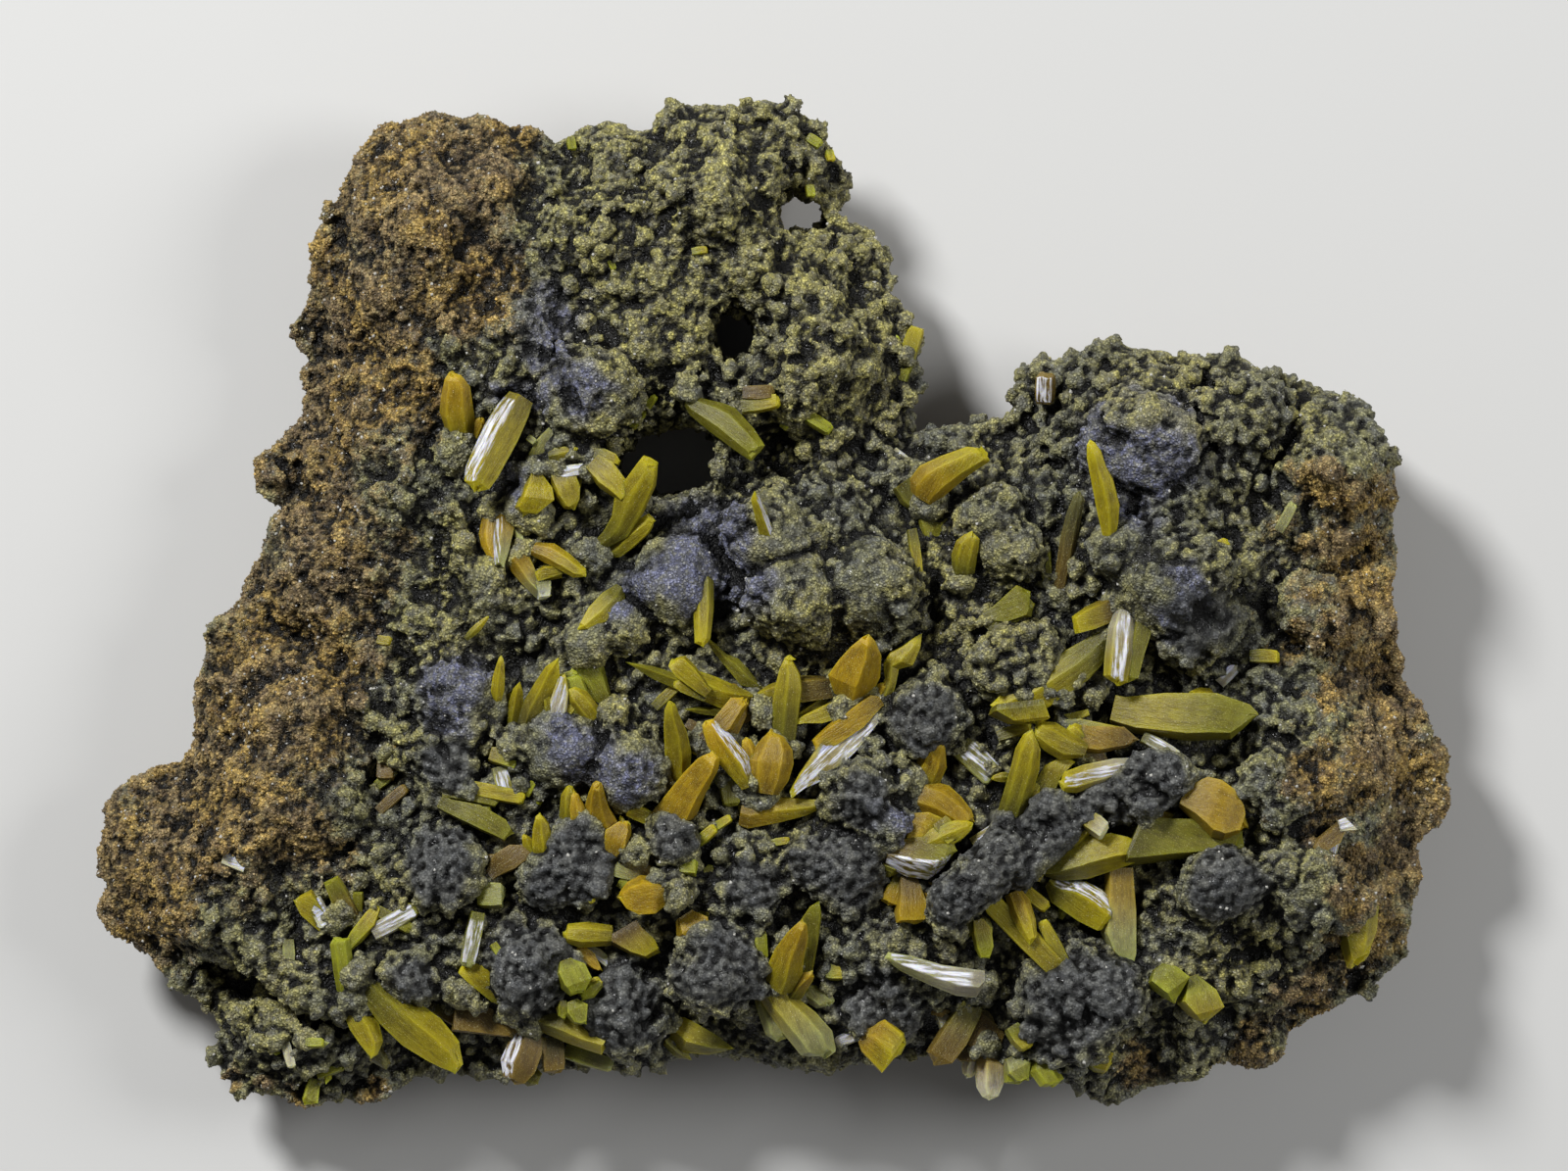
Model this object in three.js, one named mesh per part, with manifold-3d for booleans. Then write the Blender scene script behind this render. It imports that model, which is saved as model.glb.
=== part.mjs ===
// Wulfenite crystals on a plate of dark botryoidal crust over ochre limonite.
// Millimetres, +Z up. The plate lies on its flat underside, crystals uppermost, and the
// origin is the middle of its plan at the level of that underside.
import * as THREE from "three";
import { ImprovedNoise } from "three/addons/math/ImprovedNoise.js";
import { mergeVertices } from "three/addons/utils/BufferGeometryUtils.js";
import Module from "manifold-3d";

// Sizes of the plate.
const CRUST_HEIGHT = 19; // mean level of the crust above the underside
const RIM_DROP = 6.5; // how far the crust falls towards the broken rim
const RIM_WIDTH = 11; // width of the band in which it falls
const TILT_WEST = 0.05; // the west half slopes down, mm per mm
const UNDERCUT_RISE = 7; // how far the underside rises from its flat middle to the rim
const UNDERCUT_WIDTH = 13; // width of the band in which it rises
const WALL_TOP = 34;
const CELL = 3.5; // spacing of the crust's facets
const UNDER_CELL = 8;

// Fit between a crystal and what it is seated in.
const SEAT_GAP = 0.3;
const SEAT_RISE = 0.4; // the same gap measured straight up from sloping ground
const SINK = 0.1; // share of a crystal's depth below the ground it lies on
const GROUND_BLEND = 0.65; // 0 lies on the mean ground below it, 1 on the highest

// Plan positions and widths are in tenths of a millimetre, on a sheet with y down.
const PLAN_UNIT = 0.1;
const PLAN_CENTRE = [785, 617];

const wasm = await Module();
wasm.setup();
const noise = new ImprovedNoise();

function planPoint([x, y]) {
  const [middleX, middleY] = PLAN_CENTRE;
  return new THREE.Vector2((x - middleX) * PLAN_UNIT, (middleY - y) * PLAN_UNIT);
}

// ---------------------------------------------------------------- the plate's outline

// Clockwise round the broken rim, from the top of the west lobe.
const OUTLINE = [
  [386, 121], [438, 115], [538, 128], [555, 143], [592, 121], [616, 109], [651, 135],
  [668, 118], [692, 104], [757, 100], [788, 106], [826, 128], [857, 159], [855, 183],
  [844, 190], [849, 211], [881, 224], [905, 262], [904, 297], [923, 307], [926, 393],
  [928, 427], [911, 459], [936, 474], [975, 440], [1033, 428], [1048, 430], [1056, 402],
  [1060, 374], [1077, 372], [1090, 374], [1119, 361], [1199, 359], [1212, 375], [1275, 364],
  [1295, 390], [1318, 396], [1385, 405], [1411, 450], [1424, 539], [1424, 579],
  [1405, 589], [1424, 632], [1441, 715], [1461, 733], [1453, 754], [1470, 777],
  [1474, 824], [1445, 872], [1453, 907], [1436, 983], [1390, 1021], [1355, 1033],
  [1306, 1079], [1260, 1083], [1225, 1106], [1168, 1102], [1137, 1119], [1099, 1102],
  [1050, 1095], [977, 1088], [912, 1090], [855, 1077], [774, 1083], [695, 1076],
  [651, 1094], [606, 1096], [513, 1104], [428, 1106], [354, 1132], [254, 1130],
  [209, 1115], [206, 1072], [172, 1022], [128, 974], [102, 948], [95, 882], [97, 849],
  [111, 831], [135, 819], [169, 797], [191, 760], [187, 708], [208, 651], [243, 630],
  [243, 601], [264, 560], [293, 513], [248, 489], [256, 470], [293, 448], [311, 421],
  [321, 383], [300, 379], [300, 345], [281, 328], [305, 303], [328, 228], [352, 173],
  [383, 131],
];
const rim = OUTLINE.map(planPoint);

const edge = new THREE.Line3();
const spot = new THREE.Vector3();
const nearest = new THREE.Vector3();

function rimDistance(x, y) {
  spot.set(x, y, 0);
  let closest = Infinity;
  rim.forEach((corner, i) => {
    const next = rim[(i + 1) % rim.length];
    edge.start.set(corner.x, corner.y, 0);
    edge.end.set(next.x, next.y, 0);
    edge.closestPointToPoint(spot, true, nearest);
    closest = Math.min(closest, nearest.distanceTo(spot));
  });
  return closest;
}

// ---------------------------------------------------------------- relief of the crust

// Rounded lumps of dark crust: plan x, plan y, radius.
const LUMPS = [
  [600, 400, 48], [1165, 450, 55], [1195, 590, 58], [1225, 632, 42], [1145, 560, 30],
  [578, 765, 42], [640, 785, 38], [470, 712, 45], [455, 785, 27], [455, 885, 38],
  [590, 880, 38], [545, 985, 43], [625, 1030, 46], [735, 985, 40], [690, 590, 45],
  [880, 815, 40], [865, 890, 38], [945, 730, 40], [990, 890, 42], [1060, 860, 28],
  [1115, 828, 25], [1190, 795, 35], [1080, 1040, 56], [1130, 1010, 34], [1040, 680, 45],
  [1360, 480, 55], [1270, 430, 45], [900, 1030, 38], [605, 655, 25], [1330, 780, 60],
];
const LUMP_ROUNDNESS = 0.95; // height of a full lump over its radius
const LUMP_BURIED = 0.2; // share of that height below the crust

// Broad swells and slopes: plan x, plan y, plan radius, height in millimetres.
const SWELLS = [
  [830, 570, 130, 3.2], [450, 200, 120, 2.5], [720, 180, 120, 2.2], [850, 340, 90, 2],
  [640, 330, 80, 1.6], [340, 560, 90, 2.2], [300, 760, 110, 2.4], [220, 880, 110, 2.2],
  [1260, 950, 130, 2.4], [1180, 520, 150, 3], [1400, 860, 90, 2.4], [1380, 660, 90, 2],
  [280, 985, 80, 1.6],
];

// Hollows between the lumps: plan x, plan y, plan radius, depth in millimetres.
const HOLLOWS = [
  [790, 465, 60, 8], [500, 490, 36, 3.5], [700, 520, 50, 3], [1310, 480, 34, 3],
  [1245, 700, 36, 3], [380, 790, 34, 3], [345, 860, 30, 2.5], [1160, 1040, 34, 3],
  [750, 660, 50, 2.5], [960, 620, 50, 3], [690, 430, 60, 4], [560, 640, 40, 2.5],
  [1100, 930, 60, 2.5], [660, 240, 30, 2.5], [815, 215, 26, 3], [750, 345, 30, 3],
  [1180, 700, 60, 2], [990, 570, 40, 2.5], [1200, 1050, 34, 2.5], [420, 1060, 60, 4],
];

// Relief too small to list: spacing and height of each scale of unevenness.
const ROUGHNESS = [[9, 2.4], [4.2, 1.6]];
const LUMP_UNEVENNESS = 0.33; // share of it that a lump keeps

function roughness(x, y, z) {
  return ROUGHNESS.reduce((sum, [spacing, height]) => {
    const wave = noise.noise(x / spacing, y / spacing, z / spacing + height);
    return sum + height * wave;
  }, 0);
}

function bump(x, y, [planX, planY, planRadius, height]) {
  const centre = planPoint([planX, planY]);
  const reach = Math.hypot(x - centre.x, y - centre.y) / (planRadius * PLAN_UNIT);
  return height * (1 - THREE.MathUtils.smoothstep(reach, 0, 1));
}

function crustBase(x, y) {
  const fall = 1 - THREE.MathUtils.smoothstep(rimDistance(x, y), 0, RIM_WIDTH);
  const swell = SWELLS.reduce((sum, entry) => sum + bump(x, y, entry), 0);
  const hollow = HOLLOWS.reduce((sum, entry) => sum + bump(x, y, entry), 0);
  const slope = Math.min(0, x) * TILT_WEST;
  return CRUST_HEIGHT + slope - RIM_DROP * fall + swell - hollow;
}

const lumps = LUMPS.map(([planX, planY, planRadius]) => {
  const centre = planPoint([planX, planY]);
  const radius = planRadius * PLAN_UNIT;
  const full = radius * LUMP_ROUNDNESS;
  return { centre, radius, full, level: crustBase(centre.x, centre.y) - full * LUMP_BURIED };
});

function crustHeight(x, y) {
  const ground = crustBase(x, y) + roughness(x, y, 0);
  return lumps.reduce((top, { centre, radius, full, level }) => {
    const reach = Math.hypot(x - centre.x, y - centre.y) / radius;
    if (reach >= 1) return top;
    const crown = level + full * Math.sqrt(1 - reach * reach);
    return Math.max(top, crown + roughness(x, y, radius) * LUMP_UNEVENNESS);
  }, ground);
}

function underHeight(x, y) {
  const rise = 1 - THREE.MathUtils.smoothstep(rimDistance(x, y), 0, UNDERCUT_WIDTH);
  return rise * (UNDERCUT_RISE + roughness(x, y, UNDERCUT_RISE));
}

// ---------------------------------------------------------------- solids and meshes

function toSolid(geometry) {
  const plain = geometry.clone();
  plain.deleteAttribute("normal");
  plain.deleteAttribute("uv");
  const merged = mergeVertices(plain);
  const vertProperties = new Float32Array(merged.attributes.position.array);
  const triVerts = new Uint32Array(merged.index.array);
  return new wasm.Manifold(new wasm.Mesh({ numProp: 3, vertProperties, triVerts }));
}

function toGeometry(solid) {
  const mesh = solid.getMesh();
  const geometry = new THREE.BufferGeometry();
  geometry.setAttribute("position", new THREE.BufferAttribute(mesh.vertProperties, 3));
  geometry.setIndex(new THREE.BufferAttribute(mesh.triVerts, 1));
  return geometry;
}

function reshape(geometry, move) {
  const position = geometry.attributes.position;
  const point = new THREE.Vector3();
  for (let i = 0; i < position.count; i += 1) {
    point.fromBufferAttribute(position, i);
    move(point);
    position.setXYZ(i, point.x, point.y, point.z);
  }
  return geometry;
}

function largestBody(solid) {
  const bodies = solid.decompose();
  return bodies.reduce((best, body) => (body.volume() > best.volume() ? body : best));
}

// ---------------------------------------------------------------- the plate

const SHEET = [150, 112]; // facets cover this much plan, and the rim is cut out of it
const BELOW = -1; // a level under the whole plate
const WALL_STEPS = 5;
const WALL_ROUGHNESS = 0.45; // share of the crust's unevenness on the broken rim

// The rim bulges at mid height: level, and width there over the outline's.
const WALL_WIDTHS = [[0, 0.87], [5, 0.94], [10, 0.99], [15, 1], [22, 0.99], [WALL_TOP, 0.97]];

// A flat sheet of facets whose upper or lower side follows a height function.
function reliefSheet(cell, side, height, farSide) {
  const [width, depth] = SHEET;
  const sheet = new THREE.BoxGeometry(
    width, depth, 2, Math.round(width / cell), Math.round(depth / cell), 1,
  );
  return toSolid(reshape(sheet, (point) => {
    point.z = Math.sign(point.z) === side ? height(point.x, point.y) : farSide;
  }));
}

function widthAt(z) {
  const above = WALL_WIDTHS.findIndex(([level]) => level >= z);
  if (above <= 0) return WALL_WIDTHS[0][1];
  const [lowLevel, lowWidth] = WALL_WIDTHS[above - 1];
  const [highLevel, highWidth] = WALL_WIDTHS[above];
  return THREE.MathUtils.mapLinear(z, lowLevel, highLevel, lowWidth, highWidth);
}

function rimWall(grown = 0) {
  const wall = new THREE.ExtrudeGeometry(new THREE.Shape(rim), {
    depth: WALL_TOP,
    steps: WALL_STEPS,
    bevelEnabled: false,
  });
  return toSolid(reshape(wall, (point) => {
    const { x, y, z } = point;
    const outward = grown + roughness(x, y, z) * WALL_ROUGHNESS;
    const width = widthAt(z) + outward / Math.hypot(x, y);
    point.set(x * width, y * width, z);
  }));
}

// Openings right through: plan x, plan y, two plan half widths, turn in degrees.
const OPENINGS = [
  [683, 468, 38, 22, 5],
  [817, 216, 12, 22, 20],
  [751, 347, 9, 30, 20],
];
const OPENING_SIDES = 9;
const OPENING_FLARE = 1.35; // width of an opening at the crust over its width below

function opening([planX, planY, halfX, halfY, turn]) {
  const centre = planPoint([planX, planY]);
  const shaft = new THREE.CylinderGeometry(OPENING_FLARE, 1, 2 * WALL_TOP, OPENING_SIDES);
  shaft.rotateX(Math.PI / 2);
  shaft.scale(halfX * PLAN_UNIT, halfY * PLAN_UNIT, 1);
  shaft.rotateZ(THREE.MathUtils.degToRad(turn));
  shaft.translate(centre.x, centre.y, 0);
  return toSolid(shaft);
}

// The overhung hollow of the south-west corner, open above along its front.
const CAVE = [
  [176, 1012], [240, 1022], [300, 1054], [345, 1084], [372, 1092], [352, 1106],
  [296, 1098], [226, 1082], [196, 1052],
];
const CAVE_FLOOR = 10;
const CAVE_REACH = 5; // how far it runs back under the shelf

function cave() {
  const hollow = new THREE.ExtrudeGeometry(new THREE.Shape(CAVE.map(planPoint)), {
    depth: WALL_TOP,
    steps: 1,
    bevelEnabled: false,
  });
  hollow.translate(0, 0, CAVE_FLOOR);
  return toSolid(reshape(hollow, (point) => {
    const rise = (point.z - CAVE_FLOOR) / WALL_TOP;
    point.y += CAVE_REACH * Math.max(0, 1 - 2 * rise);
  }));
}

// The ground a crystal is cut to: the crust raised by the seat gap, without its openings.
function bedSolid() {
  const raised = (x, y) => crustHeight(x, y) + SEAT_RISE;
  return reliefSheet(CELL, 1, raised, BELOW).intersect(rimWall(SEAT_GAP));
}

function plateSolid() {
  const crust = reliefSheet(CELL, 1, crustHeight, BELOW);
  const underside = reliefSheet(UNDER_CELL, -1, underHeight, WALL_TOP + 1);
  const cuts = [...OPENINGS.map(opening), cave()];
  const body = crust.intersect(underside).intersect(rimWall());
  return largestBody(cuts.reduce((left, cut) => left.subtract(cut), body));
}

// ---------------------------------------------------------------- one crystal

// Each habit: number of sides, half width at each station from root to tip, depth over width.
const HABITS = {
  spindle: { sides: 6, stations: [0.5, 1, 0.3], flatness: 0.8 },
  needle: { sides: 6, stations: [0.5, 1, 0.8, 0.3], flatness: 0.8 },
  blade: { sides: 6, stations: [0.85, 1, 0.4], flatness: 0.7 },
  prism: { sides: 4, stations: [0.85, 1, 0.82], flatness: 0.75 },
  plate: { sides: 4, stations: [0.9, 1, 0.92], flatness: 0.4 },
  block: { sides: 4, stations: [0.88, 1, 0.9], flatness: 0.85 },
};

const GROUND_SAMPLES = 9;

// Puts the axis from root to tip over the ground: leaning up by lean, raised by level.
function layAxis(root, tip, depth, lean, level) {
  const grounds = Array.from({ length: GROUND_SAMPLES }, (_, i) => {
    const t = i / (GROUND_SAMPLES - 1);
    const at = root.clone().lerp(tip, t);
    return crustHeight(at.x, at.y) - lean * t;
  });
  const mean = grounds.reduce((sum, ground) => sum + ground, 0) / grounds.length;
  const bed = THREE.MathUtils.lerp(mean, Math.max(...grounds), GROUND_BLEND);
  const low = bed + depth * (0.5 - SINK) + level;
  return [new THREE.Vector3(root.x, root.y, low), new THREE.Vector3(tip.x, tip.y, low + lean)];
}

// One crystal, or with a clearance the room it takes up with that much space round it.
function crystal(member, clearance) {
  const [habit, rootX, rootY, tipX, tipY, planWidth, lean, level = 0, turn = 0] = member;
  const { sides, stations, flatness } = HABITS[habit];
  const width = planWidth * PLAN_UNIT;
  const depth = width * flatness;
  const [root, tip] = layAxis(planPoint([rootX, rootY]), planPoint([tipX, tipY]), depth, lean, level);
  const length = root.distanceTo(tip) + 2 * clearance;
  const turnToFlat = Math.PI / sides; // brings a face uppermost
  const corner = sides === 4 ? Math.SQRT2 : 1; // radius of a section one unit wide each side
  const body = new THREE.CylinderGeometry(
    corner, corner, length, sides, stations.length - 1, false, turnToFlat,
  );
  reshape(body, (point) => {
    const along = point.y / length + 0.5;
    const half = stations[Math.round(along * (stations.length - 1))];
    point.x *= (half * width) / 2 + clearance;
    point.z *= (half * depth) / 2 + clearance;
  });
  const axis = tip.clone().sub(root).normalize();
  const across = new THREE.Vector3(axis.y, -axis.x, 0).normalize();
  const upward = across.clone().cross(axis);
  body.rotateY(THREE.MathUtils.degToRad(turn));
  body.applyMatrix4(new THREE.Matrix4().makeBasis(across, axis, upward));
  const middle = root.lerp(tip, 0.5);
  body.translate(middle.x, middle.y, middle.z);
  return toSolid(body);
}

// ---------------------------------------------------------------- the crystals, by place

const COLOURS = {
  amber: 0xc8901e,
  yellow: 0xbfa62c,
  olive: 0x8a8a34,
  green: 0x9aa63a,
  brown: 0x7a5a2c,
  pale: 0xb9b58a,
};

// Each group: name, colour, then its crystals as habit, root x, y, tip x, y, width,
// and where they matter lean and level in millimetres and turn in degrees.
const GROUPS = [
  ["nest_amber_spindle", "amber", [["spindle", 466, 460, 466, 381, 34, 3.5]]],
  ["nest_tall_spindle", "yellow", [["prism", 533, 402, 487, 500, 36, 2, 0.6, 20]]],
  ["nest_middle_fan", "yellow", [
    ["blade", 541, 480, 566, 435, 26, 1], ["block", 540, 478, 562, 515, 28, 0.5, 0.4],
    ["prism", 566, 475, 583, 521, 32, 0.5, 0.4],
  ]],
  ["nest_long_blade", "olive", [
    ["blade", 600, 562, 664, 470, 38, 5], ["prism", 612, 468, 640, 510, 26, 1.5, 1],
  ]],
  ["nest_lower_pair", "yellow", [
    ["prism", 502, 530, 506, 579, 22, 1], ["prism", 518, 523, 512, 577, 20, 1.5, 0.4],
    ["prism", 512, 537, 557, 539, 18, 0.5],
  ]],
  ["nest_foot", "yellow", [
    ["prism", 530, 566, 556, 607, 26, 0.5], ["prism", 542, 560, 596, 586, 24, 1.5, 0.8],
  ]],
  ["shelf_olive_blade", "olive", [["spindle", 636, 604, 591, 642, 24, 2]]],
  ["shelf_prism", "yellow", [["prism", 714, 576, 716, 660, 23, 1.5]]],
  ["shelf_pale_needle", "pale", [["spindle", 800, 583, 769, 504, 18, 5]]],
  ["hollow_blade", "olive", [["needle", 693, 404, 768, 467, 36, 2.5, 0.5]]],
  ["notch_lens", "amber", [
    ["spindle", 926, 508, 1009, 464, 33, 2, 4], ["plate", 928, 500, 966, 562, 42, 0, 0.4],
  ]],
  ["notch_amber_stub", "amber", [["prism", 985, 594, 985, 545, 28, 2]]],
  ["east_olive_plate", "olive", [["prism", 1003, 625, 1056, 600, 28, 1]]],
  ["east_tall_needle", "yellow", [["needle", 1139, 612, 1110, 452, 31, 6, 0.4]]],
  ["east_brown_blade", "brown", [["blade", 1084, 606, 1101, 505, 24, 2]]],
  ["east_silver_fan", "yellow", [
    ["prism", 1152, 612, 1135, 697, 32, 1, 0.8, 25], ["prism", 1168, 622, 1152, 690, 22, 0.5],
    ["prism", 1094, 638, 1156, 612, 24, 1], ["prism", 1130, 640, 1012, 728, 30, 0.5],
    ["prism", 1006, 733, 1069, 727, 20, 0.5, 0.9],
  ]],
  ["east_great_spindle", "olive", [
    ["prism", 1131, 727, 1279, 730, 42, 2, 0.4], ["block", 1206, 722, 1230, 708, 22, 1, 1.6],
  ]],
  ["knot_north", "yellow", [
    ["prism", 1018, 840, 1056, 748, 34, 3.5], ["prism", 1046, 812, 1094, 768, 30, 1, 0.5],
    ["prism", 1120, 775, 1057, 755, 28, 1, 1.4], ["prism", 1080, 740, 1140, 748, 22, 0.5, 0.6],
    ["prism", 1100, 752, 1165, 762, 28, 0.5, 0.2], ["spindle", 1166, 773, 1080, 797, 28, 1.5, 1],
  ]],
  ["knot_chunk", "amber", [
    ["block", 1206, 832, 1268, 820, 54, 0.5, 1.8], ["prism", 1142, 858, 1267, 860, 38, 0],
    ["prism", 1068, 885, 1162, 860, 40, 1, 1.4, 15],
    ["prism", 1058, 894, 1137, 940, 36, 0.5, 1.2, 30], ["prism", 1150, 880, 1149, 978, 34, 0],
  ]],
  ["knot_fan", "yellow", [
    ["prism", 1005, 912, 1078, 990, 30, 0], ["blade", 1033, 908, 1054, 963, 24, 1, 0.8],
    ["block", 1006, 922, 1004, 977, 22, 0, 0.4],
  ]],
  ["centre_tip", "amber", [
    ["blade", 935, 805, 962, 757, 32, 3], ["blade", 925, 800, 990, 835, 36, 1, 0.6],
    ["blade", 927, 852, 975, 836, 26, 0.5, 0.6],
  ]],
  ["centre_silver_slab", "olive", [["prism", 900, 868, 973, 875, 40, 0.5, 0, 20]]],
  ["centre_brown_stub", "brown", [["prism", 929, 895, 929, 942, 30, 0.5]]],
  ["fan_west_rod", "yellow", [
    ["spindle", 767, 719, 641, 676, 28, 1], ["prism", 724, 712, 685, 672, 20, 0.5, 1.4],
  ]],
  ["fan_crossed_pair", "yellow", [
    ["blade", 801, 749, 810, 671, 28, 2, 1.2], ["prism", 850, 703, 768, 710, 22, 0.5, 0.4],
  ]],
  ["fan_ridge", "amber", [
    ["spindle", 858, 722, 887, 651, 44, 4, 0.4, 30], ["needle", 888, 758, 939, 647, 34, 1, 0.4],
    ["needle", 908, 698, 808, 812, 35, 1, 1, 20],
  ]],
  ["fan_spike", "yellow", [["needle", 687, 803, 686, 717, 29, 5]]],
  ["fan_slab", "amber", [["prism", 680, 838, 726, 768, 36, 4]]],
  ["fan_silver_group", "amber", [
    ["prism", 762, 797, 720, 738, 26, 1, 0.8, 25], ["block", 785, 806, 790, 750, 42, 0.5, 1],
    ["prism", 726, 756, 762, 714, 24, 0.5, 0.7],
  ]],
  ["fan_low_star", "yellow", [
    ["spindle", 744, 838, 837, 822, 25, 0.5], ["blade", 752, 832, 773, 789, 19, 2, 0.4],
  ]],
  ["west_tip", "amber", [["blade", 614, 856, 611, 801, 34, 4.5]]],
  ["west_stub", "yellow", [["prism", 583, 848, 582, 803, 22, 2]]],
  ["west_slab", "olive", [["blade", 530, 752, 570, 674, 30, 4]]],
  ["west_shards", "yellow", [
    ["spindle", 622, 750, 580, 703, 26, 1, 0.8], ["plate", 618, 735, 600, 660, 28, 0.5, 0.4],
  ]],
  ["west_olive_slab", "olive", [["prism", 436, 815, 526, 850, 28, 0.5]]],
  ["west_brown_stub", "brown", [["prism", 493, 895, 540, 862, 26, 0.5, 0.2]]],
  ["west_ovoid", "yellow", [["spindle", 558, 876, 549, 830, 25, 2]]],
  ["south_great_blade", "amber", [["needle", 360, 990, 460, 1091, 46, 2, 0.6]]],
  ["south_brown_plate", "brown", [["plate", 461, 1028, 524, 1045, 34, 0]]],
  ["south_brown_blade", "brown", [["prism", 538, 1046, 528, 1107, 38, 0.5, 0.3]]],
  ["south_flat_prism", "yellow", [["prism", 528, 1040, 622, 1070, 29, 0.5, 0.3]]],
  ["south_pointed_blade", "yellow", [["blade", 524, 1028, 472, 992, 28, 1]]],
  ["south_green_pair", "green", [
    ["prism", 566, 982, 602, 1014, 30, 0.5], ["prism", 588, 998, 600, 1045, 27, 0.5, 0.3],
  ]],
  ["south_cap", "yellow", [
    ["prism", 576, 955, 630, 955, 27, 0.5, 0.6], ["prism", 622, 958, 673, 972, 24, 0.5, 0.4],
    ["plate", 580, 970, 625, 990, 24, 0.5, 0.2],
  ]],
  ["south_chunk", "amber", [
    ["block", 636, 915, 684, 912, 38, 0.5, 0.8], ["plate", 598, 882, 655, 902, 30, 0.5, 0.3],
  ]],
  ["south_block", "amber", [
    ["block", 691, 950, 723, 944, 31, 0.3, 0.8], ["plate", 722, 880, 720, 950, 21, 0.5, 0.3],
  ]],
  ["south_long_blade", "yellow", [
    ["blade", 797, 1008, 822, 940, 37, 4, 0.4], ["plate", 814, 1005, 828, 925, 24, 3, 0.4],
  ]],
  ["south_slant_blade", "yellow", [["prism", 778, 1006, 850, 1075, 37, 0.5, 0.3]]],
  ["south_square", "amber", [["block", 886, 1083, 918, 1051, 47, 0.3, 0.3]]],
  ["south_prism", "green", [["prism", 680, 1048, 744, 1074, 27, 0.3, 0.2]]],
  ["south_silver_blade", "pale", [["needle", 1004, 1015, 904, 973, 30, 1.5, 0.2, 25]]],
  ["south_brown_rod", "brown", [["prism", 950, 1076, 1000, 1020, 27, 0.5]]],
  ["south_claw", "amber", [
    ["blade", 1012, 1056, 1008, 1124, 32, 0.5, 0.4], ["prism", 994, 1042, 1024, 1074, 38, 0.2],
    ["prism", 1014, 1090, 1086, 1104, 24, 0.2, 0.4],
  ]],
  ["south_tablets", "green", [
    ["block", 1176, 994, 1212, 1012, 29, 0.2, 0.3], ["block", 1204, 1010, 1246, 1031, 36, 0.2, 0.3],
  ]],
  ["rim_blade", "olive", [["spindle", 1399, 902, 1380, 988, 38, 1, 0.3]]],
  ["corner_stem", "green", [
    ["prism", 352, 1019, 350, 952, 25, 1], ["plate", 340, 952, 302, 916, 26, 1, 0.5],
    ["prism", 345, 955, 385, 925, 22, 0.5, 0.2], ["plate", 356, 945, 332, 904, 24, 1, 0.2],
  ]],
  ["corner_dark_blade", "brown", [["blade", 362, 1040, 391, 1093, 22, 0]]],
  ["rim_dull_stub", "pale", [["prism", 1380, 845, 1342, 868, 20, 1, 0.2]]],
  ["corner_sprig", "green", [
    ["prism", 321, 1106, 317, 1070, 13, 1, 0.6], ["prism", 322, 1098, 309, 1132, 17, 0, 2],
    ["prism", 330, 1106, 326, 1072, 10, 1, 0.6], ["block", 310, 1099, 338, 1101, 14, 0, 1.5],
  ]],
];

const MATRIX_COLOUR = 0x4b4a40;
const MATRIX_ROUGHNESS = 0.95;
const CRYSTAL_ROUGHNESS = 0.35;

function facetedMesh(name, solid, color, roughness, seat) {
  const geometry = toGeometry(solid).translate(-seat.x, -seat.y, -seat.z).toNonIndexed();
  geometry.computeVertexNormals();
  const material = new THREE.MeshStandardMaterial({ color, roughness, metalness: 0 });
  const mesh = new THREE.Mesh(geometry, material);
  mesh.name = name;
  mesh.position.copy(seat);
  return mesh;
}

// Where a group is rooted: its first crystal's root, on the crust.
function seatOf([[, rootX, rootY]]) {
  const { x, y } = planPoint([rootX, rootY]);
  return new THREE.Vector3(x, y, crustHeight(x, y));
}

function cluster(members, clearance = 0) {
  return members.map((member) => crystal(member, clearance)).reduce((sum, one) => sum.add(one));
}

function overlaps(one, other) {
  const a = one.boundingBox();
  const b = other.boundingBox();
  return [0, 1, 2].every((k) => a.min[k] < b.max[k] && b.min[k] < a.max[k]);
}

function buildSpecimen() {
  const specimen = new THREE.Group();
  specimen.name = "wulfenite_on_matrix";
  const origin = new THREE.Vector3();
  specimen.add(facetedMesh("matrix", plateSolid(), MATRIX_COLOUR, MATRIX_ROUGHNESS, origin));
  const bed = bedSolid();
  const rooms = [];
  GROUPS.forEach(([name, colour, members]) => {
    const grown = cluster(members);
    const near = rooms.filter((room) => overlaps(room, grown));
    const cut = near.reduce((left, room) => left.subtract(room), grown.subtract(bed));
    rooms.push(cluster(members, SEAT_GAP));
    const seat = seatOf(members);
    specimen.add(facetedMesh(name, largestBody(cut), COLOURS[colour], CRYSTAL_ROUGHNESS, seat));
  });
  return specimen;
}

export default buildSpecimen();
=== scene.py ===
# Wulfenite on a crusted limonite plate: one natural specimen, lying on its flat underside.
import math
import random

import bmesh
import bpy
import numpy as np
from mathutils import Matrix, Vector
from mathutils.bvhtree import BVHTree


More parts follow.
